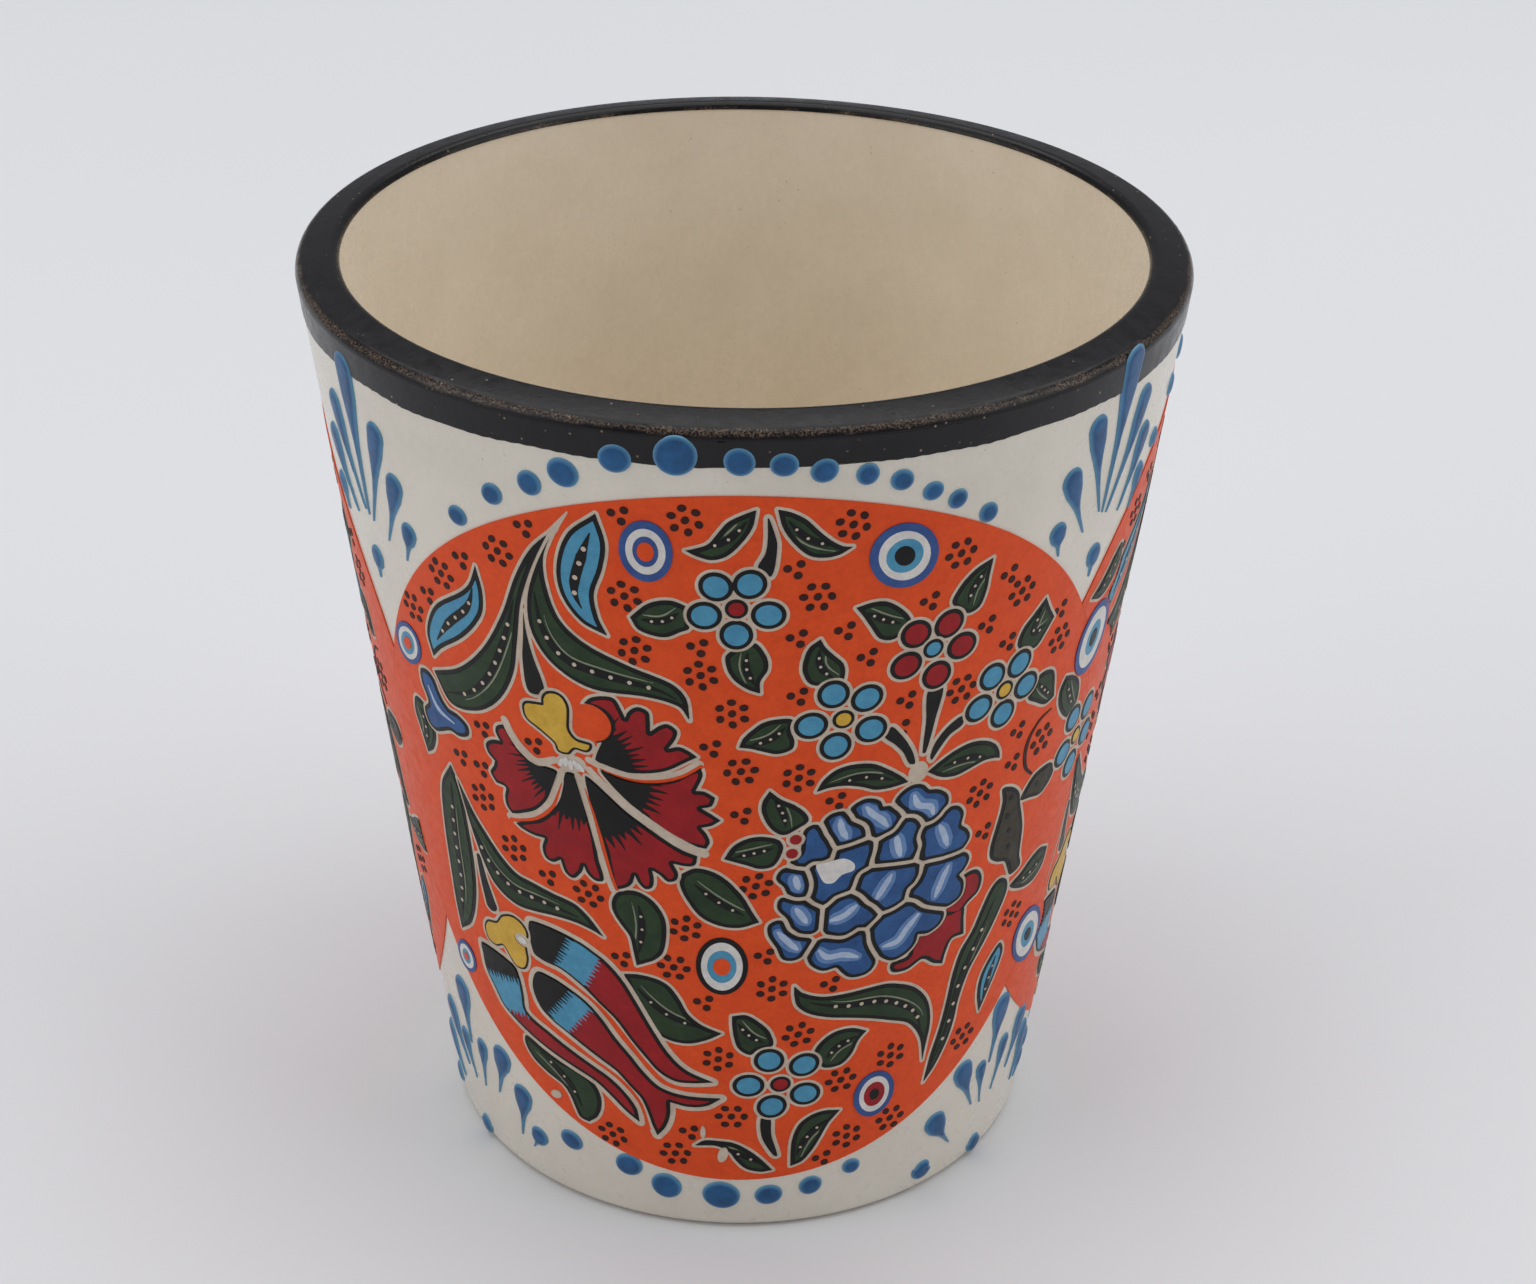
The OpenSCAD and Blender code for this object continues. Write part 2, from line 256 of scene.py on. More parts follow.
class Shape:
    """Signed distances to a flat shape over a window of a sheet, negative inside."""

    def __init__(self, sheet, low, high):
        self.sheet = sheet
        columns = np.searchsorted(sheet.x, (low[0] - REACH, high[0] + REACH))
        rows = np.searchsorted(sheet.y, (low[1] - REACH, high[1] + REACH))
        self.window = (slice(*rows), slice(*columns))
        self.x = sheet.x[self.window[1]][None, :]
        self.y = sheet.y[self.window[0]][:, None]
        self.d = np.full((self.y.size, self.x.size), REACH, np.float32)

    def changed(self, d):
        other = object.__new__(Shape)
        other.__dict__.update(self.__dict__, d=d)
        return other

    def grown(self, by):
        return self.changed(self.d - by)

    def within(self, d):
        """What lies in the region whose signed distances, over the same window, are d."""
        return self.changed(np.maximum(self.d, d))

    def inside(self, other, inset):
        """What lies in another shape, inset by so much."""
        d = np.full(self.d.shape, REACH, np.float32)
        mine, theirs = [], []
        for a, b in zip(self.window, other.window):
            start, stop = max(a.start, b.start), max(a.start, b.start, min(a.stop, b.stop))
            mine.append(slice(start - a.start, stop - a.start))
            theirs.append(slice(start - b.start, stop - b.start))
        d[tuple(mine)] = other.d[tuple(theirs)]
        return self.within(d + inset)


def filled(sheet, outline):
    """The inside of a closed curve."""
    a = np.asarray(outline)
    b = np.roll(a, -1, 0)
    shape = Shape(sheet, a.min(0), a.max(0))
    inside = np.zeros(shape.d.shape, bool)
    xs, ys = shape.x[0], shape.y[:, 0]
    for p, q in zip(a, b):
        _near_segment(shape, xs, ys, p, q, 0, 0)
        low, high = (p, q) if p[1] < q[1] else (q, p)
        rows = slice(*np.searchsorted(ys, (low[1], high[1])))
        if rows.start < rows.stop:
            across = low[0] + (ys[rows] - low[1]) * (high[0] - low[0]) / (high[1] - low[1])
            inside[rows] ^= xs[None, :] < across[:, None]
    shape.d = np.where(inside, -shape.d, shape.d)
    return shape


def _near_segment(shape, xs, ys, p, q, r0, r1):
    """Lowers shape.d to the distance from the segment p-q, whose radius goes from r0 to r1."""
    reach = REACH + max(r0, r1)
    columns = slice(*np.searchsorted(xs, (min(p[0], q[0]) - reach, max(p[0], q[0]) + reach)))
    rows = slice(*np.searchsorted(ys, (min(p[1], q[1]) - reach, max(p[1], q[1]) + reach)))
    x = xs[columns][None, :] - p[0]
    y = ys[rows][:, None] - p[1]
    dx, dy = q[0] - p[0], q[1] - p[1]
    t = np.clip((x * dx + y * dy) / max(dx * dx + dy * dy, 1e-9), 0, 1)
    d = np.hypot(x - t * dx, y - t * dy) - (r0 + (r1 - r0) * t)
    shape.d[rows, columns] = np.minimum(shape.d[rows, columns], d)


def stroke(sheet, points, widths):
    """A brush line along a smooth curve. Its width goes through widths from end to end."""
    line = smooth(points, closed=False)
    steps = np.hypot(*np.diff(line, axis=0).T)
    along = np.concatenate([[0], np.cumsum(steps)]) / steps.sum()
    radii = np.interp(along, np.linspace(0, 1, len(widths)), widths) / 2
    shape = Shape(sheet, line.min(0) - max(widths) / 2, line.max(0) + max(widths) / 2)
    xs, ys = shape.x[0], shape.y[:, 0]
    for p, q, r0, r1 in zip(line, line[1:], radii, radii[1:]):
        _near_segment(shape, xs, ys, p, q, r0, r1)
    return shape


def oval(sheet, centre, rx, ry=None, turn=0.0):
    """An ellipse whose rx axis is turned anticlockwise from x by turn degrees."""
    ry = ry or rx
    big = max(rx, ry)
    shape = Shape(sheet, np.subtract(centre, big), np.add(centre, big))
    c, s = math.cos(math.radians(turn)), math.sin(math.radians(turn))
    x, y = shape.x - centre[0], shape.y - centre[1]
    a, b = (x * c + y * s) / rx, (y * c - x * s) / ry
    k = np.hypot(a, b)
    shape.d = (k * (k - 1) / np.maximum(np.hypot(a / rx, b / ry), 1e-6)).astype(np.float32)
    return shape


class Sheet:
    """The rolled-out wall as layers of ink, each a grid of signed distances."""

    def __init__(self, low, high):
        self.x = np.arange(low[0], high[0], CELL, dtype=np.float32)
        self.y = np.arange(low[1], high[1], CELL, dtype=np.float32)
        self.layers = {}

    def layer(self, name):
        if name not in self.layers:
            self.layers[name] = np.full((self.y.size, self.x.size), REACH, np.float32)
        return self.layers[name]

    def add(self, name, shape):
        part = self.layer(name)[shape.window]
        np.minimum(part, shape.d, out=part)

    def clear(self, shape, only=None):
        """Takes a shape out of every ink over the ground, or out of these inks only."""
        for name, grid in self.layers.items():
            if (name in only) if only else name != "ground":
                part = grid[shape.window]
                np.maximum(part, -shape.d, out=part)

    def over(self, name, shape):
        """Adds a shape with nothing else left under it."""
        self.clear(shape)
        self.add(name, shape)

    def trimmed(self, centre, radius):
        """The same sheet without what lies inside a circle."""
        other = Sheet((self.x[0], self.y[0]), (self.x[-1], self.y[-1]))
        other.x, other.y = self.x, self.y
        hole = radius - np.hypot(self.x[None, :] - centre[0], self.y[:, None] - centre[1])
        other.layers = {name: np.maximum(grid, hole) for name, grid in self.layers.items()}
        return other


# ---------------------------------------------------------------- flat shapes to meshes


def contours(x, y, d, level):
    """Closed loops round where d is under level, by marching squares."""
    inside = d < level
    width = d.shape[1]
    count = d.size
    a, b = inside[:-1, :-1], inside[:-1, 1:]
    e, c = inside[1:, :-1], inside[1:, 1:]
    code = a + 2 * b + 4 * c + 8 * e
    # The cell sides that a loop enters and leaves by, with the inside on its left
    ways = {
        1: "BL", 2: "RB", 3: "RL", 4: "TR", 5: "BLTR", 6: "TB", 7: "TL",
        8: "LT", 9: "BT", 10: "RBLT", 11: "RT", 12: "LR", 13: "BR", 14: "LB",
    }
    side = {"B": 0, "T": width, "L": count, "R": count + 1}
    follow = {}
    for value, way in ways.items():
        cells = np.nonzero(code.ravel() == value)[0]
        cells = cells + cells // (width - 1)
        for k in range(0, len(way), 2):
            follow.update(zip((cells + side[way[k]]).tolist(), (cells + side[way[k + 1]]).tolist()))
    flat = d.ravel()
    loops = []
    while follow:
        start, at = follow.popitem()
        loop = [start]
        while at != start:
            loop.append(at)
            at = follow.pop(at)
        ids = np.array(loop)
        upright = ids >= count
        first = np.where(upright, ids - count, ids)
        second = first + np.where(upright, width, 1)
        t = (level - flat[first]) / (flat[second] - flat[first])
        row, column = first // width, first % width
        across = x[0] + CELL * (column + np.where(upright, 0, t))
        up = y[0] + CELL * (row + np.where(upright, t, 0))
        loops.append(np.stack([across, up], 1))
    return loops


SLACK = 0.008  # how far a thinned loop may stray from the full one
LONGEST_EDGE = 0.9


def thinned(loop):
    """A closed loop with few points that keep it within SLACK, and with no long edges."""
    far = int(np.argmax(np.hypot(*(loop - loop[0]).T)))
    closed = np.concatenate([loop, loop[:1]])
    keep = {0, far, len(loop)}
    spans = [(0, far), (far, len(loop))]
    while spans:
        i, j = spans.pop()
        if j - i < 2:
            continue
        chord = closed[j] - closed[i]
        size = math.hypot(*chord)
        off = closed[i + 1 : j] - closed[i]
        if size > 1e-6:
            away = np.abs(off[:, 0] * chord[1] - off[:, 1] * chord[0]) / size
        else:
            away = np.hypot(*off.T)
        k = int(np.argmax(away))
        if away[k] > SLACK or size > LONGEST_EDGE:
            k = k if away[k] > SLACK else (j - i) // 2 - 1
            keep.add(i + 1 + k)
            spans += [(i, i + 1 + k), (i + 1 + k, j)]
    return closed[sorted(keep)[:-1]]


def sampled(sheet, d, points):
    """d at flat points, between the grid's cells."""
    i = (points[:, 1] - sheet.y[0]) / CELL
    j = (points[:, 0] - sheet.x[0]) / CELL
    i = np.clip(i, 0, d.shape[0] - 1.001)
    j = np.clip(j, 0, d.shape[1] - 1.001)
    i0, j0 = i.astype(int), j.astype(int)
    fi, fj = i - i0, j - j0
    low = d[i0, j0] * (1 - fj) + d[i0, j0 + 1] * fj
    high = d[i0 + 1, j0] * (1 - fj) + d[i0 + 1, j0 + 1] * fj
    return low * (1 - fi) + high * fi


SEED_INSET = 0.3  # how far inside the innermost loop the filling vertices stay


def triangles(sheet, d, levels=(0.0,), pitch=0.8):
    """(points, triangles) of the flat region where d is negative.

    Vertices lie on the loops where d is at each of the levels, and pitch mm apart within them.
    """
    loops = [thinned(loop) for level in levels for loop in contours(sheet.x, sheet.y, d, level)]
    loops = [loop for loop in loops if len(loop) > 3]
    every = round(pitch / CELL)
    inner = np.argwhere(d[::every, ::every] < min(levels) - SEED_INSET) * every
    seeds = np.stack([sheet.x[inner[:, 1]], sheet.y[inner[:, 0]]], 1)
    points = np.concatenate([*loops, seeds]).astype(float)
    edges = []
    start = 0
    for loop in loops:
        n = len(loop)
        edges += [(start + k, start + (k + 1) % n) for k in range(n)]
        start += n
    made = delaunay_2d_cdt([Vector(p) for p in points], edges, [], 0, 1e-5, False)
    flat = np.array([v[:] for v in made[0]])
    faces = np.array(made[2])
    faces = faces[sampled(sheet, d, flat[faces].mean(1)) < 0]
    used = np.unique(faces)
    order = np.full(len(flat), -1)
    order[used] = np.arange(len(used))
    return flat[used], order[faces]


def rim_edges(faces):
    """The directed edges that only one triangle has."""
    edges = np.concatenate([faces[:, [0, 1]], faces[:, [1, 2]], faces[:, [2, 0]]])
    there = set(map(tuple, edges.tolist()))
    return np.array([e for e in there if (e[1], e[0]) not in there])


def new_piece(name, points, faces, material, replaced=(), sharp=None, fields=()):
    """A shaded mesh object that rides on the cup and takes its finish from a slot."""
    mesh = bpy.data.meshes.new(name)
    mesh.from_pydata(points.tolist(), [], faces)
    mesh.shade_smooth()
    if sharp is not None:
        mark_sharp(mesh, sharp)
    for field, values in fields:
        mesh.attributes.new(field, "FLOAT", "POINT").data.foreach_set("value", values)
    mesh.materials.append(material)
    piece = bpy.data.objects.new(name, mesh)
    bpy.context.collection.objects.link(piece)
    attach(piece, "root")
    if replaced:
        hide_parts(*replaced)
    return piece


def mark_sharp(mesh, pairs):
    """Edges between these pairs of vertices shade as creases."""
    wanted = {(min(e), max(e)) for e in pairs}
    ends = np.empty(2 * len(mesh.edges), int)
    mesh.edges.foreach_get("vertices", ends)
    ends = np.sort(ends.reshape(-1, 2), 1)
    flags = [tuple(e) in wanted for e in ends.tolist()]
    mesh.attributes.new("sharp_edge", "BOOLEAN", "EDGE").data.foreach_set("value", flags)


def closed_faces(top, rim, n):
    """The triangles of a top of n vertices, the same ones on a base under it, and of the sides."""
    base = top[:, ::-1] + n
    sides = [
        np.stack([rim[:, 1], rim[:, 0], rim[:, 0] + n], 1),
        np.stack([rim[:, 1], rim[:, 0] + n, rim[:, 1] + n], 1),
    ]
    return np.concatenate([top, base, *sides]).tolist()


def ink_piece(name, sheet, layer, lift, turn, material, replaced):
    """A layer of ink of even height on the wall, with upright sides down to the glaze."""
    flat, faces = triangles(sheet, sheet.layers[layer])
    n = len(flat)
    rim = rim_edges(faces)
    points = np.concatenate([on_wall(flat, lift, turn), on_wall(flat, 0.0, turn)])
    sharp = rim.tolist() + (rim + n).tolist()
    new_piece(name, points, closed_faces(faces, rim, n), material, replaced, sharp)


# Enamel, in mm: its height, its height at the very edge, how far in from the edge it is full,
# and how far in its colour is full
ENAMEL_H = 0.18
ENAMEL_EDGE_H = 0.02
ENAMEL_ROUND = 0.6
ENAMEL_DEEP = 0.5
# Where a drop of enamel has its rings of vertices, as distances to its edge
DOME_RINGS = (0.0, -0.03, -0.08, -0.16, -0.26, -0.38, -0.52)


def enamel_piece(name, sheet, turn, material, replaced):
    """Drops of enamel that swell up from their edges."""
    d = sheet.layers["enamel"]
    flat, faces = triangles(sheet, d, DOME_RINGS, 0.4)
    depth = np.clip(-sampled(sheet, d, flat), 0, None)
    rim = rim_edges(faces)
    depth[np.unique(rim)] = 0
    swell = np.sqrt(1 - (1 - np.clip(depth / ENAMEL_ROUND, 0, 1)) ** 2)
    n = len(flat)
    top = on_wall(flat, ENAMEL_EDGE_H + ENAMEL_H * swell, turn)
    points = np.concatenate([top, on_wall(flat, 0.0, turn)])
    fields = [("depth", np.concatenate([np.clip(depth / ENAMEL_DEEP, 0, 1), np.zeros(n)]))]
    sharp = (rim + n).tolist()
    new_piece(name, points, closed_faces(faces, rim, n), material, replaced, sharp, fields)


# ---------------------------------------------------------------- the ornament

HALO = 0.19  # the usual width of the cream edge round a motif
LINE = 0.27  # the usual width of the black line inside it


def haloed(sheet, shapes, halo=HALO):
    """Lays one cream halo round and under all the shapes of a motif."""
    for shape in shapes:
        sheet.clear(shape.grown(halo))
    for shape in shapes:
        sheet.add("cream", shape.grown(halo))


def outlined(sheet, parts, halo=HALO, line=LINE):
    """Parts of one motif, (shape, fill): a cream halo round all, then a black line round each."""
    haloed(sheet, [shape for shape, _ in parts], halo)
    for shape, fill in parts:
        sheet.add("black", shape)
        sheet.add(fill, shape.grown(-line))


def speckle(sheet, points, r, layer="thread"):
    for point in points:
        sheet.add(layer, oval(sheet, point, r))


def along(line, places):
    """Points at these fractions of a curve's length."""
    steps = np.concatenate([[0], np.cumsum(np.hypot(*np.diff(line, axis=0).T))])
    return np.stack([np.interp(np.multiply(places, steps[-1]), steps, line[:, k]) for k in (0, 1)], 1)


def beside(line, by):
    """A curve by mm to the left of a curve."""
    way = np.gradient(line, axis=0)
    way /= np.maximum(np.hypot(*way.T), 1e-9)[:, None]
    return line + by * np.stack([-way[:, 1], way[:, 0]], 1)


# A leaf's spine as fractions of its length: how much further than the dots its slit runs at
# either end, the furthest it may run, and the ends of its vein
SLIT_MORE = (0.16, 0.14)
SLIT_ENDS = (0.02, 0.98)
VEIN_ENDS = (0.16, 0.86)
VEIN_GAP = 0.14  # from the slit to the vein, in mm


def leaf(
    sheet, outline, spine=None, fill="green", slit=0.42, vein=True, dots=3, dot_r=0.09,
    spread=(0.34, 0.68),
):
    """A leaf with a dark slit of light dots down its spine and a light vein on its left.

    Without a spine it takes one from tip to tip, bowed with the leaf. The dots lie between the
    two fractions of the spine's length in spread.
    """
    curve = smooth(outline)
    shape = filled(sheet, curve)
    outlined(sheet, [(shape, fill)])
    if spine is None:
        tips = np.array([q[:2] for q in outline if len(q) > 2])
        start = tips[0]
        end = tips[-1] if len(tips) > 1 else curve[np.argmax(np.hypot(*(curve - start).T))]
        spine = [start, 1.3 * curve.mean(0) - 0.15 * (start + end), end]
    line = smooth(spine, closed=False)
    slit_start = max(SLIT_ENDS[0], spread[0] - SLIT_MORE[0])
    slit_end = min(SLIT_ENDS[1], spread[1] + SLIT_MORE[1])
    middle = along(line, np.linspace(slit_start, slit_end, 12))
    sheet.add("dark", stroke(sheet, middle, (0.06, slit, slit, 0.06)).inside(shape, LINE))
    speckle(sheet, along(line, np.linspace(*spread, dots)), dot_r)
    if vein:
        path = beside(along(line, np.linspace(*VEIN_ENDS, 14)), slit / 2 + VEIN_GAP)
        sheet.add("vein", stroke(sheet, path, (0.04, 0.1, 0.1, 0.04)).inside(shape, LINE + 0.05))


# A blossom's measures: a petal's radii away from and across the eye, those of its fill, and the
# radii of the eye's cream ring, black ring and fill
PETAL = (0.95, 0.9)
PETAL_FILL = (0.7, 0.66)
EYE = (0.8, 0.62, 0.43)


def blossom(sheet, centre, petals, fill, eye):
    """Five round petals about an eye."""
    turns = [math.degrees(math.atan2(y - centre[1], x - centre[0])) for x, y in petals]
    shapes = [oval(sheet, petal, *PETAL, turn) for petal, turn in zip(petals, turns)]
    haloed(sheet, shapes)
    for shape, petal, turn in zip(shapes, petals, turns):
        sheet.add("black", shape)
        sheet.add(fill, oval(sheet, petal, *PETAL_FILL, turn))
    sheet.over("cream", oval(sheet, centre, EYE[0]))
    sheet.add("black", oval(sheet, centre, EYE[1]))
    sheet.add(eye, oval(sheet, centre, EYE[2]))


BEAD_MARGIN = 0.12  # the bare ground left round a bead


def bead(sheet, centre, turn, *rings):
    """Concentric ovals of (ink, rx, ry) from the outside in."""
    outer = oval(sheet, centre, rings[0][1], rings[0][2], turn)
    sheet.clear(outer.grown(BEAD_MARGIN))
    below = None
    for ink, rx, ry in rings:
        ring = oval(sheet, centre, rx, ry, turn)
        if below:
            sheet.clear(ring, only=(below,))
        sheet.add(ink, ring)
        below = ink


def stem(sheet, points, widths):
    """A black stalk with a cream edge."""
    outlined(sheet, [(stroke(sheet, points, widths), "black")])


def wedge(sheet, outline):
    """A black stem that swells, with a wider cream edge."""
    outlined(sheet, [(filled(sheet, smooth(outline)), "black")], halo=0.24)


def ragged(across, pitch):
    """From -1 to 1: a row of sharp strokes of uneven length, pitch apart."""
    stroke_end = 1 - np.abs((across / pitch) % 2 - 1)
    uneven = 0.6 + 0.25 * np.sin(across / pitch * 1.9) + 0.15 * np.sin(across / pitch * 4.3)
    return 2 * stroke_end**1.5 * uneven - 1


def brushed(shape, start, way, reach, pitch=0.16):
    """Signed distances to the side of a brushed line behind start, looking along way."""
    way = np.array(way) / math.hypot(*way)
    x, y = shape.x - start[0], shape.y - start[1]
    across = x * way[1] - y * way[0]
    return x * way[0] + y * way[1] - reach * ragged(across, pitch)


def fanned(shape, centre, radius, reach, turns):
    """Signed distances to the inside of a ring of brush strokes round a centre."""
    x, y = shape.x - centre[0], shape.y - centre[1]
    return np.hypot(x, y) - radius - reach * ragged(np.arctan2(y, x), turns)


# Small berries: clusters of seven, and groups of three
CLUSTERS = [
    (-3, 23.4), (-6.3, 18.1), (-5.8, 14.6), (-2.2, 13.4), (-0.5, 10.9), (5.8, 22.9), (4, 18.5),
    (12.1, 19.6), (12.7, 10.2), (-13.8, 18.9), (-18.1, 15.5), (-21, 11.6), (16.5, 15.4),
    (20.2, 10.2), (0, 6.9), (3.2, 6.3), (-3.1, -4.8), (0.9, -1.4), (-8.9, -3.6), (14.6, 1.8),
    (-16.1, 0.4), (-13.9, -2.3), (-3.8, -7.9), (-1.2, -14.9), (-0.4, -19.6), (-7.8, -22.7),
    (-3.8, -23.1), (1.9, -9.3), (3.5, -13.1), (6.2, -17.4), (9.4, -16.5), (6.7, -22.3),
    (9.6, -21.9), (14.9, -17.9), (18.6, -10.1),
]
GROUPS = [
    (-6.6, 23.3), (-12.1, 21.1), (-2.4, 15.3), (2.7, 20.4), (2.9, 15.9), (5.5, 16.1),
    (10.3, 17), (6.8, 14.1), (3, 12), (9.2, 10.6), (-16.5, 17.3), (-19.5, 13.4), (14.1, 14.1),
    (15.7, 12.2), (15.4, 17), (19.9, 12.4), (17.2, 5.1), (-1.7, 8.5), (0, 3.8), (-12.1, 6.3),
    (-11.6, -3.3), (5.3, 4.4), (1.4, -6.7), (15.1, -1.4), (-15.8, 5.8), (-16.1, 2.7),
    (-17.8, 2.6), (-7, -7.9), (-2.1, -10.4), (-3, -21.1), (5.3, -9.4), (5.1, -23.7),
    (17, 2.8), (8.9, 8.7),
]


# Where the three berries of a group lie about its middle
GROUP = ((-0.34, 0.03), (0.37, 0.3), (0.22, -0.43))


def seven(x, y, out, turn=0.0):
    """Six spots round a seventh, out mm from it, turned by turn degrees."""
    ring = [math.radians(60 * k + turn) for k in range(6)]
    return [(x + out * math.cos(a), y + out * math.sin(a)) for a in ring] + [(x, y)]


def berries(sheet):
    for x, y in CLUSTERS:
        # Each cluster is turned its own way, so that no two look alike
        for k, spot in enumerate(seven(x, y, 0.76, 20 + 7 * (x + y))):
            sheet.add("brown", oval(sheet, spot, 0.25, 0.22, 40 * k))
    for x, y in GROUPS:
        for dx, dy in GROUP:
            sheet.add("brown", oval(sheet, (x + dx, y + dy), 0.24))


# Blossoms: the eye's place, the petals' places, and the inks of petals and eye
BLOSSOMS = [
    ((-0.3, 17.9), [(-0.3, 16.2), (1.4, 17.5), (0.4, 19.5), (-1.4, 19.3), (-2, 17.4)], "sky", "red"),
    ((10.7, 13.7), [(9.6, 15), (11.6, 15.1), (12.5, 13.3), (11, 11.8), (9.1, 13)], "red", "sky"),
    ((5.6, 10.1), [(5, 11.9), (6.9, 11.3), (3.8, 9.9), (5.2, 8.3), (7.2, 9.1)], "sky", "yellow"),
    ((15.8, 8.8), [(14.8, 10.2), (16.8, 10.2), (14, 8.3), (17.5, 8.3), (15.8, 7.1)], "sky", "yellow"),
    ((2.5, -17), [(1.8, -15), (3.9, -15.6), (4, -18), (2, -18.8), (0.6, -17)], "sky", "red"),
]


BLOSSOM_STEMS = [
    [(10.55, 10.9), (11.45, 10.9), (11.1, 8.8), (10.6, 6.5), (10.4, 6.5), (10.5, 8.6)],
    [(8, 8.4), (8.4, 8.95), (8.9, 8.4), (9.4, 7.6), (9.8, 6.7), (9.95, 5.9), (9.6, 6), (9.2, 6.9),
     (8.7, 7.6)],
    [(13, 8.2), (12.9, 7.6), (12.1, 7.2), (11.5, 6.5), (11, 5.8), (10.9, 6.1), (11.2, 7),
     (11.9, 7.8), (12.6, 8.2)],
    [(1.3, 23.7), (1.6, 22.9), (1.8, 21.9), (1.5, 20), (0.8, 20.5), (1.2, 21.5), (1.3, 22.5)],
    [(1.4, -19.6), (1.9, -19.6), (2, -21.2), (2.4, -23), (2.2, -23), (1.8, -22.3), (1.4, -21.2)],
]


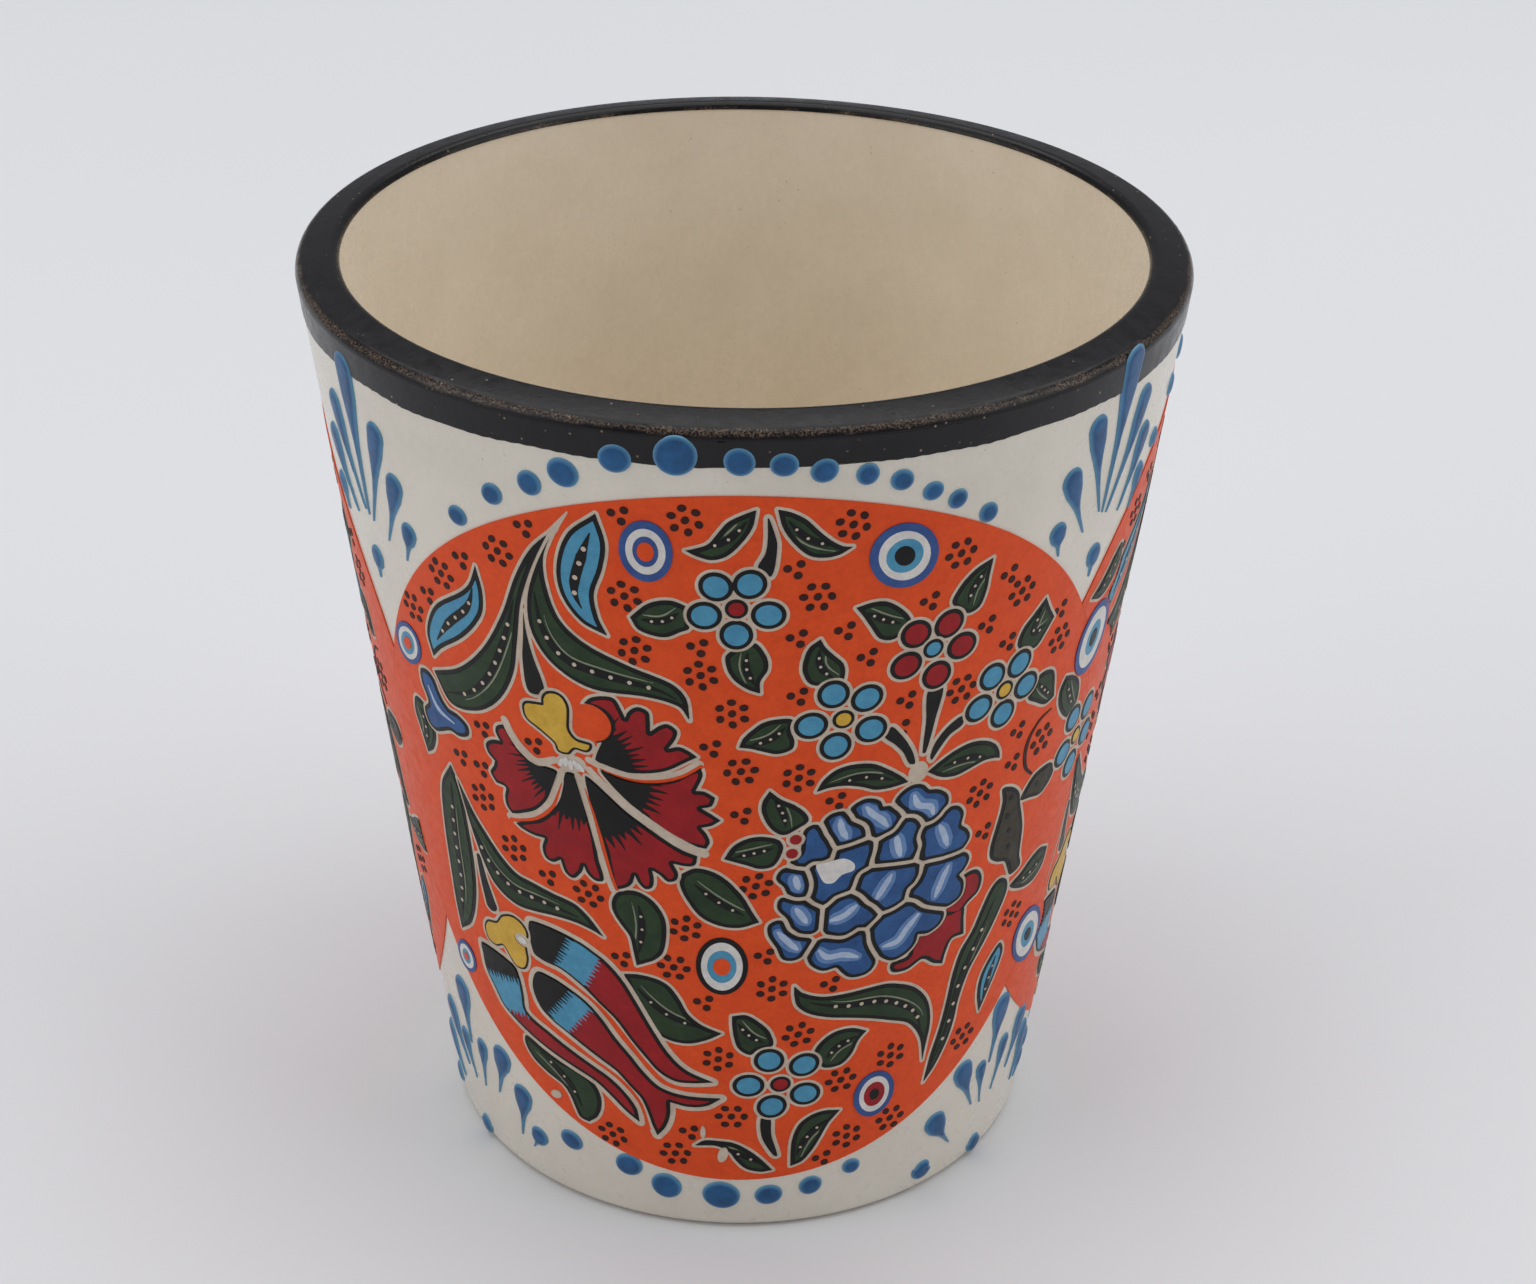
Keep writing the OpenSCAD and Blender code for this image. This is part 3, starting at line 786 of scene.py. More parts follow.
SMALL_LEAVES = [
    [(-6, 16.8, S), (-5.2, 17.7), (-4.5, 18.1), (-3.7, 18.2), (-2.9, 17.9, S), (-2.8, 16.5),
     (-3.3, 16.2), (-4, 15.8), (-4.8, 15.8), (-5.6, 16.1)],
    [(1, 12.3, S), (1, 13.1), (1.4, 13.9), (1.3, 14.8), (0.6, 15.7), (-0.8, 14.9), (-0.8, 14),
     (-0.4, 13.2), (0.3, 12.6)],
    [(5.8, 21.5, S), (5.1, 21.1), (4.3, 21), (3.5, 21.2), (2.7, 22), (2.1, 23), (1.8, 24.2, S),
     (2.5, 24), (3.3, 23.5), (4, 22.7), (4.7, 22), (5.3, 21.6)],
    [(-3, 21.5, S), (-2.4, 21.7), (-1.8, 22), (-1.3, 22.7), (-0.8, 23.4), (0, 23.9), (0.7, 24.2, S),
     (0.5, 23.1), (0, 22.2), (-0.8, 21.3), (-1.6, 21), (-2.4, 21.2)],
    [(6.1, 17.5, S), (7, 17.7), (7.8, 17.6), (8.6, 17), (9.2, 16.2), (9.2, 15.7), (8.3, 15),
     (7.5, 15.2), (7, 16), (6.5, 16.9)],
    [(14.2, 18.6, S), (13.2, 18.3), (12.5, 17.8), (12, 17.2), (11.7, 16.5), (12.1, 15.9),
     (12.8, 15.4), (13.5, 15.6), (13.9, 16.6), (14, 17.4)],
    [(4.2, 15.7, S), (3.6, 15.2), (3.3, 14.3), (3.3, 13.5), (3.8, 12.7), (5.4, 12.6), (5.6, 13.2),
     (5.5, 13.9), (5, 14.5), (4.5, 15.1)],
    [(-0.1, 8.6, S), (0.1, 9.2), (0.6, 9.8), (1.2, 10.3), (2, 10.5), (2.8, 10.4), (2.7, 9.6),
     (2.9, 9), (2.8, 8.4), (2, 8.1), (1.2, 8.3), (0.6, 8.5)],
    [(18.5, 14, S), (17.5, 13.2), (16.8, 12.6), (16.5, 11.6), (17.2, 10.9), (18.1, 10.8),
     (18.8, 11.5), (19.4, 12.2, S), (19, 12.9)],
    [(20.3, 5.9, S), (19.5, 5.8), (18.5, 6.5), (17.8, 7.2), (18.4, 8.3), (19.3, 8.4), (20, 7.9)],
    [(4.2, 5.2, S), (4.6, 6), (5.3, 6.6), (6.2, 6.8), (7.4, 6.6), (8.3, 6), (9.2, 5.2), (9.6, 4.7, S),
     (8.6, 4.6), (7.6, 4.7), (6.8, 5.1), (5.8, 5.4), (4.9, 5.4)],
    [(15.9, 3.8, S), (15.5, 4), (14.7, 4.2), (13.7, 4.1), (12.7, 4), (11.7, 4.3), (10.8, 5, S),
     (11.6, 5.5), (12.6, 5.9), (13.6, 6), (14.6, 5.7), (15.4, 5.1), (15.8, 4.4)],
    [(1.6, 5.5, S), (1.2, 4.7), (1.2, 3.9), (1.7, 2.8), (2.4, 2.3), (3.2, 2.7), (3.8, 3.2),
     (3.6, 3.8), (3, 4.4), (2.2, 4.9)],
    [(-0.9, 0.6, S), (-0.5, 1.4), (0, 1.9), (0.7, 2.2), (1.5, 2.2), (2.2, 1.9), (2.4, 1.3),
     (1.9, 0.1), (1.1, -0.1), (0.3, 0.2)],
    [(-3.3, -0.7, S), (-2.5, -0.2), (-1.5, -0.4), (-0.7, -1), (0, -1.9), (0.3, -2.4), (0.7, -3.3),
     (1.1, -4.1, S), (0, -4.5), (-1.1, -4.4), (-2.2, -3.8), (-3, -2.6), (-3.4, -1.5)],
    [(-6, -8.2, S), (-5.5, -7.9), (-4.9, -7.5), (-4.4, -6.8), (-4.2, -5), (-4.4, -3.9), (-5.1, -2.9),
     (-6, -2.5), (-7, -2.8), (-7.4, -3.5), (-7.4, -4.3), (-7, -5.1), (-6.4, -6), (-6.2, -7)],
    [(-6.8, -9.1, S), (-5.9, -8.9), (-4.8, -9), (-4.1, -9.4), (-3.5, -10.3), (-3, -11.4),
     (-2.2, -12.2), (-1, -12.8, S), (-1.9, -13.4), (-3, -13.8), (-4.1, -13.7), (-5.1, -13.1),
     (-5.8, -11.8), (-6.3, -10.4)],
    [(-9.4, -22.3, S), (-8.8, -21.6), (-8.5, -20.6), (-8.6, -19.5), (-9.2, -18.6), (-10.2, -18.2),
     (-11.6, -18), (-13, -17.6), (-13.9, -17.4), (-14, -18.1), (-13.4, -19), (-12.3, -19.6),
     (-11.2, -20), (-10.7, -20.6), (-10.3, -21.6), (-10, -22.2)],
    [(-0.4, -11.4, S), (0.4, -11.3), (1.2, -11.9), (1.8, -12.7), (2, -13.8), (1.1, -14.1),
     (0.7, -14.5), (0, -14), (-0.3, -13), (-0.4, -12)],
    [(7.7, -13.8, S), (6.8, -13.3), (5.8, -13.3), (5, -13.8), (4.5, -14.7), (5, -16), (6.1, -16.1),
     (6.8, -15.4), (7.2, -14.4)],
    [(6.2, -19.9, S), (5.5, -20.8), (5, -21.9), (4.5, -22.9), (3.9, -23.7), (3.2, -24, S),
     (3.2, -22.7), (3.3, -21.6), (3.7, -20.5), (4.4, -19.9), (5.2, -19.7)],
    [(-2.6, -22.2, S), (-1.3, -22.1), (-0.5, -22.6), (-0.1, -23.3), (0.5, -24), (1.4, -24.3),
     (2.1, -24.2, S), (1.3, -23.1), (0.5, -22.3), (-0.3, -21.8), (-1, -21.7), (-2, -21.7)],
    [(22, -7, S), (21.6, -8.2), (20.6, -8.7), (19.3, -8.4), (18, -7.4), (19, -7), (20, -6.5),
     (21, -6.4)],
    [(-21.8, 4.6), (-20.6, 4.4), (-20, 2.9), (-20.4, 1.5), (-21.1, 0.8, S), (-21.6, 2.1),
     (-22.1, 3.4)],
]


def long_leaf(sheet, outline, spine, slit, dots):
    """A long green leaf with a row of dots from tip to tip."""
    leaf(sheet, outline, spine, slit=slit, dots=dots, dot_r=0.13, spread=(0.2, 0.84))


def carnation_leaves(sheet):
    leaf(
        sheet,
        [(-7.8, 23.1, S), (-7.3, 21.3), (-7.5, 19.6), (-8, 17.9), (-7.8, 16.4), (-7.3, 15.3, S),
         (-8.8, 15.9), (-9.9, 17.4), (-10.1, 19.3), (-9.4, 21.5)],
        [(-7.8, 22.8), (-8.7, 20), (-9.1, 17.8), (-8.2, 15.9)],
        fill="sky", slit=0.6, vein=False, dots=4, dot_r=0.15, spread=(0.3, 0.72),
    )
    leaf(
        sheet,
        [(-15.4, 17.3, S), (-15, 15.6), (-15.2, 14), (-16.6, 11.9), (-18.6, 10), (-19.4, 9, S),
         (-19.8, 10.4), (-19.4, 11.9), (-18.6, 13.2), (-16.6, 15), (-15.9, 15.9)],
        [(-15.5, 16.7), (-16.1, 14.3), (-17.8, 12.2), (-19.3, 9.8)],
        fill="sky", slit=0.55, vein=False, dots=5, dot_r=0.12, spread=(0.28, 0.76),
    )
    wedge(
        sheet,
        [(-12.3, 15.4, S), (-12.2, 14.2), (-11.9, 12.8), (-11.2, 10.3), (-12.2, 10), (-12.5, 12.1),
         (-12.4, 13.5)],
    )
    long_leaf(
        sheet,
        [(-10.1, 21.6, S), (-11.6, 19.9), (-12.7, 17.7), (-13.7, 14.8), (-15.2, 11.8), (-17.2, 9.4),
         (-19.5, 7.9, S), (-18.2, 6.3), (-16, 6.9), (-14.3, 8.5), (-13.2, 10.8), (-12.8, 13.4),
         (-12.4, 16.2), (-11.3, 19.5)],
        [(-12.8, 16.5), (-13.6, 13.3), (-14.9, 10), (-16.6, 7.9), (-18.6, 6.9)], 0.45, 8,
    )
    long_leaf(
        sheet,
        [(-10.3, 21.3, S), (-10.9, 19.5), (-10.8, 17.7), (-10.1, 15.7), (-8.7, 14.5), (-6.1, 13.5),
         (-3.8, 12.7), (-3, 11.8), (-2.8, 10.3, S), (-3.4, 11.2), (-5.2, 11.6), (-8.4, 11.5),
         (-10.6, 12.5), (-11.8, 14.2), (-12, 16.3), (-11.4, 18.7)],
        [(-11.6, 17.5), (-11.1, 14.7), (-9.8, 13.1), (-7.4, 12.6), (-4.6, 12.2),
         (-3.3, 11.6)], 0.5, 8,
    )
    sheet.add("cream", stroke(sheet, [(-10.4, 21.2), (-9.9, 22), (-9.4, 22.8)], (0.5, 0.3, 0.12)))


def tulip_leaves(sheet):
    long_leaf(
        sheet,
        [(-18.8, 1.3, S), (-19.9, -0.8), (-20.1, -4), (-19.9, -8), (-19.7, -10.5), (-19.4, -12.2, S),
         (-18.2, -10.8), (-17.5, -8.3), (-17.4, -5.5), (-17.7, -2.5), (-18.1, 0)],
        [(-18.9, 0.3), (-19, -4), (-18.8, -8), (-19.2, -11.3)], 0.5, 8,
    )
    stem(sheet, [(-16.9, -4.6), (-16.6, -6.2), (-16.1, -8)], (0.35, 0.6, 0.9))
    long_leaf(
        sheet,
        [(-18.3, 0.6, S), (-17, -1.3), (-16, -2.4), (-14.9, -3.5), (-13.8, -4.2), (-12.7, -4.3),
         (-11.2, -4.5), (-9.8, -4.7), (-8.9, -5.4), (-8, -6.6, S), (-8.7, -6.3), (-9.8, -6.1),
         (-11.2, -6.2), (-12.6, -6.5), (-13.8, -6.7), (-15, -6.4), (-15.9, -5.7), (-17, -3.5)],
        [(-17.4, -1.9), (-16, -4.3), (-14.2, -5.4), (-12, -5.4), (-9.4, -5.6)], 0.45, 8,
    )


def peony_leaves(sheet):
    long_leaf(
        sheet,
        [(3.2, -9.2, S), (3.7, -9.8), (4.8, -10.3), (5.9, -10.4), (8.7, -10.4), (9.8, -10.8),
         (10.8, -11.5), (11.6, -12.6), (12, -13.8), (12.1, -15.2), (11.9, -16.6), (11.7, -18, S),
         (11.5, -16.3), (11.1, -15.2), (10.4, -14.2), (9.4, -13.6), (8, -12.9), (6.6, -12.4),
         (5.2, -12), (4.1, -11.5), (3.4, -10.8), (3.2, -9.9)],
        [(3.8, -10.5), (6, -11.3), (8.7, -11.7), (10.8, -13.4), (11.5, -15.6)], 0.45, 9,
    )
    long_leaf(
        sheet,
        [(16.9, -6.1), (16.2, -6.5), (15.5, -7.8), (14.9, -9.1), (14.1, -10.2), (13.6, -11.8),
         (13.3, -13.7), (12.9, -15.8), (12.3, -17.9), (11.9, -20, S), (12.7, -19), (13.6, -17.2),
         (14, -15.8), (14.2, -14.4), (14.9, -12.3), (16, -10.7), (17, -9.1), (17.7, -7.6),
         (17.6, -6.6)],
        [(16.8, -7.2), (15.6, -9.6), (14.2, -12.6), (13.4, -16.2), (12.4, -18.8)], 0.35, 7,
    )
    leaf(
        sheet,
        [(17.6, -11.8), (16.6, -12.6), (16, -13.7), (15.9, -15.1), (16.2, -16.6, S), (17, -15.1),
         (17.7, -13.7), (18, -12.6)],
        fill="sky", slit=0.4, vein=False,
    )


def trunk(sheet):
    """The bare branch at the right edge with its ring of berries."""
    parts = [
        [(16.4, 1.2), (16.5, 0.2), (16.3, -1), (16, -2.1), (15.8, -3.1), (15.9, -3.9), (16.5, -4.5),
         (17.2, -4.9), (17.6, -5.8), (17.9, -6.4), (18.8, -6.2), (18.6, -5.2), (18.6, -3.1),
         (18.4, -2), (18.1, -0.9), (17.9, 0.1), (17.2, 0.9)],
        [(19, 0.5), (19.9, 0.7), (21, 0.4), (21.3, -0.6), (20.2, -1.4), (19, -1), (18.1, -0.6)],
    ]
    outlined(sheet, [(filled(sheet, smooth(part)), "olive") for part in parts])
    speckle(sheet, [(17.2, 0.1), (17, -1.2), (17.3, -2.5), (17.4, -3.8), (19.6, -0.3)], 0.2, "dark")
    twig = [(20.2, 5), (19.2, 4.8), (18.4, 4), (18.1, 2.9), (18.3, 1.7), (18.9, 0.9)]
    sheet.add("brown", stroke(sheet, twig, (0.12, 0.32, 0.2)))
    speckle(sheet, seven(19.6, 3.1, 0.8), 0.26, "brown")


# Peony petals, each an outline and the line of its pale streak
PEONY = [
    ([(9, 3.5), (9.4, 4), (10, 4.2), (10.5, 4), (10.9, 3.5), (11.5, 3.3), (12.1, 2.7), (12.1, 2),
      (11.5, 1.4), (11, 1.4), (10.4, 2), (9.7, 2.5), (9.1, 3)],
     [(10, 3.6), (10.3, 2.8), (11.1, 2.4), (11.3, 1.8)]),
    ([(6.3, 3.5), (6.7, 3.9), (7.2, 4), (7.8, 3.7), (8, 3.2), (8.6, 3.1), (9.1, 2.7), (9.1, 2.1),
      (8.7, 1.5), (8, 1.3), (7.5, 1.7), (7.2, 2.3), (6.7, 2.8)],
     [(7.1, 3.6), (7.5, 3), (8, 2.5), (8.4, 1.9)]),
    ([(4.8, 2.9), (5.1, 3.3), (5.7, 3.4), (6.1, 3.1), (6.2, 2.7), (6.8, 2.4), (7.1, 1.9), (6.9, 1.4),
      (6.2, 1.1), (5.5, 1.2), (5.2, 1.7), (4.9, 2.3)], [(5.6, 3), (5.7, 2.3), (6, 1.6)]),
    ([(3.7, 2.4), (4.1, 2.7), (4.5, 2.5), (4.7, 2), (5, 1.4), (5.1, 0.6), (4.7, 0.1), (4.1, 0.2),
      (3.7, -0.1), (3.1, -0.1), (3, 0.4), (3.5, 0.8), (3.6, 1.5)], []),
    ([(5.5, 0.6), (6.1, 0.9), (6.9, 1), (7.5, 0.7), (7.6, 0), (7.2, -0.7), (6.7, -1), (6.5, -1.4),
      (6.4, -2), (6, -2.3), (5.3, -2.5), (4.9, -3), (4.3, -2.8), (4.2, -2.2), (4.2, -1.4), (4, -0.7),
      (4, -0.2), (4.6, -0.1), (5.4, 0)], []),
    ([(9.4, 1.8), (10, 1.9), (10.4, 1.4), (10.3, 0.7), (10.2, 0.2), (10.5, -0.4), (10.2, -0.9),
      (9.4, -1), (8.6, -0.9), (7.8, -0.5), (7.9, 0.3), (8.3, 1), (8.9, 1.2), (9.2, 1.5)],
     [(9, 1), (9.1, 0.3), (9.3, -0.6)]),
    ([(12.2, 1.6), (12.9, 1.5), (13.3, 0.9), (13.2, 0), (13.7, -0.6), (13.9, -1.2), (13.4, -1.8),
      (12.5, -1.8), (11.5, -1.5), (10.7, -1), (10.7, -0.3), (10.8, 0.7), (11.5, 1), (12, 1.3)],
     [(11.8, 0.7), (12.1, 0), (12.4, -1)]),
    ([(7.1, -1.5), (7.8, -1.3), (8.6, -1.3), (9.6, -1.6), (10.3, -2), (10.5, -2.5), (10.2, -2.9),
      (9.7, -3.2), (9.6, -3.9), (9, -4.4), (8.3, -4.3), (7.8, -3.6), (7.1, -2.9), (6.8, -2.2)],
     [(8.8, -1.9), (8.3, -2.8), (7.9, -3.5)]),
    ([(11.2, -2.2), (12.1, -2.2), (12.8, -2.2), (13.7, -2.4), (14, -2.9), (13.7, -3.5), (13.3, -3.8),
      (13.7, -4.6), (13.6, -5.5), (12.8, -5.8), (11.8, -5.5), (10.9, -4.7), (10.2, -3.9),
      (10.7, -3.3), (10.9, -2.7)], [(12.6, -2.7), (12.2, -3.6), (11.8, -4.7)]),
    ([(2.4, -0.4), (3, -0.2), (3.7, -0.6), (3.9, -1.3), (3.8, -2), (3.3, -2.3), (2.9, -2.1),
      (2.6, -1.4), (2.2, -0.9)], [(3.1, -0.8), (3.3, -1.7)]),
    ([(2.4, -2.5), (3.1, -2.7), (3.9, -3), (4.4, -3.5), (4.5, -4.4), (4.3, -5), (3.6, -5.1),
      (3.1, -4.6), (2.8, -3.8), (2.3, -3.1)], [(3.2, -3.2), (3.8, -4.3)]),
    ([(1.8, -4.4), (2.3, -4.2), (2.6, -4.9), (3.2, -5.4), (4, -5.8), (3.8, -6.5), (3.2, -7),
      (2.6, -6.9), (2.3, -6.1), (1.8, -5.1)], [(2.2, -4.9), (2.8, -5.7), (3.3, -6.3)]),
    ([(5.1, -3.5), (5.7, -3), (6.4, -2.9), (6.9, -3.1), (7.2, -3.8), (7.8, -4.3), (7.9, -4.9),
      (7.4, -5.2), (6.8, -5), (6.4, -5.4), (5.7, -5.7), (5.1, -5.3), (4.9, -4.4)],
     [(6.7, -3.6), (6, -4.2), (5.2, -4.4)]),
    ([(4.6, -6), (5.3, -5.9), (6.1, -6.2), (7.1, -6), (7.3, -6.7), (7.8, -7.8), (7.9, -8.5),
      (7.5, -9), (6.6, -9), (6.1, -8.5), (5.7, -8), (4.9, -8.1), (4.2, -7.5), (4.1, -6.7)],
     [(4.6, -6.6), (5.1, -7.2), (6, -7.2), (6.9, -7.6)]),
    ([(8, -5.4), (8.6, -5), (9.6, -4.7), (10.3, -4.6), (10.9, -5.3), (11.8, -5.8), (12.4, -6.4),
      (12.2, -7), (11.5, -7.3), (10.7, -7.1), (10.5, -7.8), (10, -8.3), (9.2, -8.5), (8.5, -8),
      (8, -7.2), (7.9, -6.2)],
     [(10.7, -5.6), (10, -6.4), (9.4, -7.2), (8.5, -7.3)]),
]
PEONY_CALYX = [
    [(13.1, -6.5), (14, -6.6), (14.1, -7.6), (14.2, -8.9, S), (13.3, -8.8), (12.9, -9.6),
     (12.7, -10.5, S), (12, -10.1), (11.2, -9.4), (10.2, -9.8), (9.2, -9.6), (9.1, -8.9),
     (10.2, -8.7), (10.4, -7.4), (11.8, -6.4)],
    [(13.2, -4.4), (14.2, -4), (14.9, -4.2), (15.3, -5), (15.1, -6), (14.4, -6.4), (13.6, -7),
     (12.4, -6.2)],
]
# Where the print has missed on the peony
PEONY_BLOTCH = [
    (4.3, -0.1), (5, 0), (5.9, 0.1), (6.5, -0.4), (6.5, -0.9), (5.8, -1.1), (5.3, -1.6), (4.8, -1.5),
    (4.5, -0.9),
]

# The round ground under the peony's petals
PEONY_HEART = (8, -2)
PEONY_HEART_R = 4.6
# How far its petals grow: everywhere, and more for each mm in from the ground's edge, up to so many
GROWTH = 0.17
GROWTH_PER_MM = 0.25
GROWTH_MOST_MM = 2
PETAL_GAP = 0.28  # what stays open between two petals
STREAK_INSET = 0.3  # how far inside a petal its pale streak stays


def swelled(petals):
    """Petals grown, most near the flower's centre, until only a gap is left between neighbours."""
    sheet = petals[0].sheet
    nearest = np.full((sheet.y.size, sheet.x.size), REACH, np.float32)
    second = nearest.copy()
    for petal in petals:
        first, then = nearest[petal.window], second[petal.window]
        then[:] = np.minimum(then, np.maximum(first, petal.d))
        first[:] = np.minimum(first, petal.d)
    grown = []
    for petal in petals:
        first, then = nearest[petal.window], second[petal.window]
        other = np.where(petal.d <= first, then, first)
        out = np.hypot(petal.x - PEONY_HEART[0], petal.y - PEONY_HEART[1])
        swell = petal.d - GROWTH - GROWTH_PER_MM * np.clip(PEONY_HEART_R - out, 0, GROWTH_MOST_MM)
        grown.append(petal.changed(np.maximum(swell, (petal.d - other + PETAL_GAP) / 2)))
    return grown


def peony(sheet):
    calyx = [(filled(sheet, smooth(part)), "red") for part in PEONY_CALYX]
    outlined(sheet, calyx)
    petals = swelled([filled(sheet, smooth(outline)) for outline, _ in PEONY])
    sheet.over("cream", oval(sheet, PEONY_HEART, PEONY_HEART_R))
    outlined(sheet, [(petal, "deep") for petal in petals], line=0.25)
    for petal, (_, streak) in zip(petals, PEONY):
        if streak:
            soft = stroke(sheet, streak, (0.6, 1.0, 1.0, 1.0, 0.6))
            pale = stroke(sheet, streak, (0.2, 0.42, 0.4, 0.42, 0.2))
            sheet.add("haze", soft.inside(petal, STREAK_INSET))
            sheet.add("streak", pale.inside(petal, STREAK_INSET))
    blotch = filled(sheet, smooth(PEONY_BLOTCH))
    sheet.clear(blotch, only=("deep", "black"))
    sheet.add("white", blotch)
    for spot in ((3.1, 1.9), (2.9, 0.9)):
        sheet.over("cream", oval(sheet, spot, 0.55))
        sheet.add("red", oval(sheet, spot, 0.34))


CARNATION_HEART = (-9.7, 5.8)
# Carnation petals: an outline, and where the black base ends
CARNATION = [
    ([(-8.2, 6.4), (-7.8, 7.8), (-7.3, 8.8), (-7.2, 9.5), (-7.7, 10.1), (-8.8, 10.3, S), (-8.4, 10.8),
      (-7.7, 11.1), (-7, 11.1), (-6.6, 10.4), (-6.4, 9.9, S), (-6.2, 10.4), (-5.7, 10.8),
      (-5.1, 10.6), (-5, 9.9), (-5, 9.2, S), (-4.5, 9.7), (-4, 9.9), (-3.5, 9.5), (-3.6, 8.9),
      (-4, 8.2, S), (-3.4, 8.4), (-2.9, 8.2), (-2.4, 7.8, S), (-3, 7.4), (-4, 6.7), (-5.1, 6.3),
      (-6.5, 6.1), (-7.7, 6.3)], (-6, 7.7)),
    ([(-7.9, 5.9), (-6.5, 5.6), (-5.1, 5.7), (-3.7, 6.1), (-2.9, 6.7), (-2.2, 7.1, S), (-2.1, 6.5),
      (-2.5, 5.4, S), (-2, 5.4), (-1.4, 5, S), (-1.6, 4.4), (-2.2, 4.2, S), (-1.6, 3.8),
      (-1.1, 3.4, S), (-1.6, 3), (-2.2, 2.8, S), (-1.9, 2.4), (-1.7, 1.8), (-1.9, 1.3, S),
      (-2.9, 1.5), (-4, 2), (-5.1, 2.9), (-6.2, 3.9), (-7.2, 4.9)],
     (-4.9, 4.2)),
    ([(-8.8, 5.2), (-7.6, 4.3), (-6.5, 3.3), (-5.4, 2.5), (-4.3, 1.7), (-3.2, 1), (-2.4, 0.7, S),
      (-2.5, 0.1), (-2.9, -0.1), (-3.8, 0, S), (-3.5, -0.7), (-3.6, -1.2), (-4.1, -1.4), (-4.5, -1),
      (-5, -0.7, S), (-4.9, -1.4), (-5, -2), (-5.4, -2.2), (-5.8, -1.8), (-6, -1.3, S), (-6.2, -2),
      (-6.6, -2.4), (-7.2, -2.6), (-7.5, -1.4), (-7.7, 0), (-8.1, 1.4), (-8.5, 3), (-8.8, 4.6)],
      (-6.6, 1.3)),
    ([(-9.5, 5.1), (-9.2, 4.2), (-8.8, 2.5), (-8.4, 1), (-8.2, -0.7), (-7.9, -2.2), (-8.4, -2.4),
      (-8.9, -2), (-9.1, -1.5, S), (-9.3, -2.1), (-9.8, -2.7), (-10.3, -2.5), (-10.6, -1.6, S),
      (-11.1, -2), (-11.6, -1.9), (-11.8, -1.2), (-11.6, -0.4, S), (-12.3, -0.5), (-13.2, -0.4),
      (-13.6, -0.2, S), (-12.9, 0.3), (-11.9, 0.9), (-11.1, 1.8), (-10.5, 2.9), (-10.2, 4.2),
      (-10.1, 5)], (-10.2, 1.6)),
    ([(-10.6, 4.9), (-12, 5), (-12.9, 5.4), (-13.4, 6), (-14, 6.9, S), (-14.6, 6.5), (-14.7, 6),
      (-14.4, 5.5, S), (-15, 5.3), (-15.5, 4.8), (-15.4, 4.2), (-14.9, 3.8, S), (-15, 3.4),
      (-15.3, 2.8), (-14.9, 2.2, S), (-14.2, 2.2), (-14.3, 1.5), (-14.2, 0.8), (-13.8, 0.4, S),
      (-13.1, 0.8), (-12.1, 1.5), (-11.4, 2.4), (-10.9, 3.6)], (-12.6, 4)),
]
# The lines between the carnation's petals, and the side of each where bare orange shows: 1 for
# left, -1 for right, 0 for neither
CARNATION_RIBS = [
    ([(-8.6, 6.4), (-7.3, 6), (-5.9, 5.8), (-4.5, 6), (-3.3, 6.5), (-2.3, 7.3)], -1),
    ([(-8.6, 5.7), (-7.3, 4.4), (-5.9, 3.3), (-4.5, 2.3), (-3.2, 1.5), (-2, 0.9)], 0),
    ([(-9.3, 5), (-8.9, 3.6), (-8.4, 1.8), (-8, 0), (-7.6, -1.7), (-7.3, -2.7)], 1),
    ([(-10.3, 5), (-10.7, 3.6), (-11.2, 2.2), (-12.2, 1), (-13.4, 0.3), (-14, 0.1)], 1),
    ([(-10.7, 5.7), (-11.9, 5.1), (-12.9, 5.6), (-13.6, 6.4), (-14, 7.2)], 0),
]
CARNATION_CALYX = [
    (-12.7, 8.8), (-12.5, 9.2), (-11.9, 9.4), (-11.4, 9.5, S), (-11.4, 9.9), (-11.1, 10.4),
    (-10.5, 10.6), (-10, 10.4), (-9.7, 9.8), (-9.7, 9), (-9.7, 8.2), (-9.3, 7.7), (-8.4, 7.6),
    (-8.4, 7.2), (-8.7, 6.9), (-9.4, 6.9), (-9.8, 6.4), (-10.5, 6.4), (-10.7, 6.9), (-11.6, 7.5),
    (-12.5, 8),
]


def ribs(sheet, lines):
    """Cream lines between petals, narrowed by bare orange along one side or neither."""
    for line, _ in lines:
        sheet.over("cream", stroke(sheet, line, (0.45, 0.62, 0.55)))
    for line, side in lines:
        if side:
            edge = beside(smooth(line, closed=False), side * 0.2)
            sheet.clear(stroke(sheet, edge[4:], (0.08, 0.3, 0.28)), only=("cream",))


def carnation(sheet):
    petals = [filled(sheet, smooth(outline)) for outline, _ in CARNATION]
    outlined(sheet, [(shape, "red") for shape in petals], line=0.24)
    for shape, (_, start) in zip(petals, CARNATION):
        radius = math.dist(start, CARNATION_HEART) + 0.4
        sheet.add("dark", shape.grown(-0.1).within(fanned(shape, CARNATION_HEART, radius, 0.8, 0.045)))
    # Bare orange shows through a round gap, with a black crescent along its right side
    gap = oval(sheet, (-8.35, 9.05), 1.3)
    sheet.over("black", gap)
    sheet.clear(oval(sheet, (-8.5, 9.05), 1.3), only=("black",))
    sheet.clear(gap.grown(-0.2), only=("black",))
    ribs(sheet, CARNATION_RIBS)
    outlined(sheet, [(filled(sheet, smooth(CARNATION_CALYX)), "yellow")], line=0.16)
    sheet.over("cream", oval(sheet, CARNATION_HEART, 0.95, 0.62, 12))
    for k in range(5):
        spot = (-10.3 + 0.3 * k, 5.7 + 0.12 * (k % 2))
        sheet.add("white", oval(sheet, spot, 0.14, 0.34, 14 * k - 20))


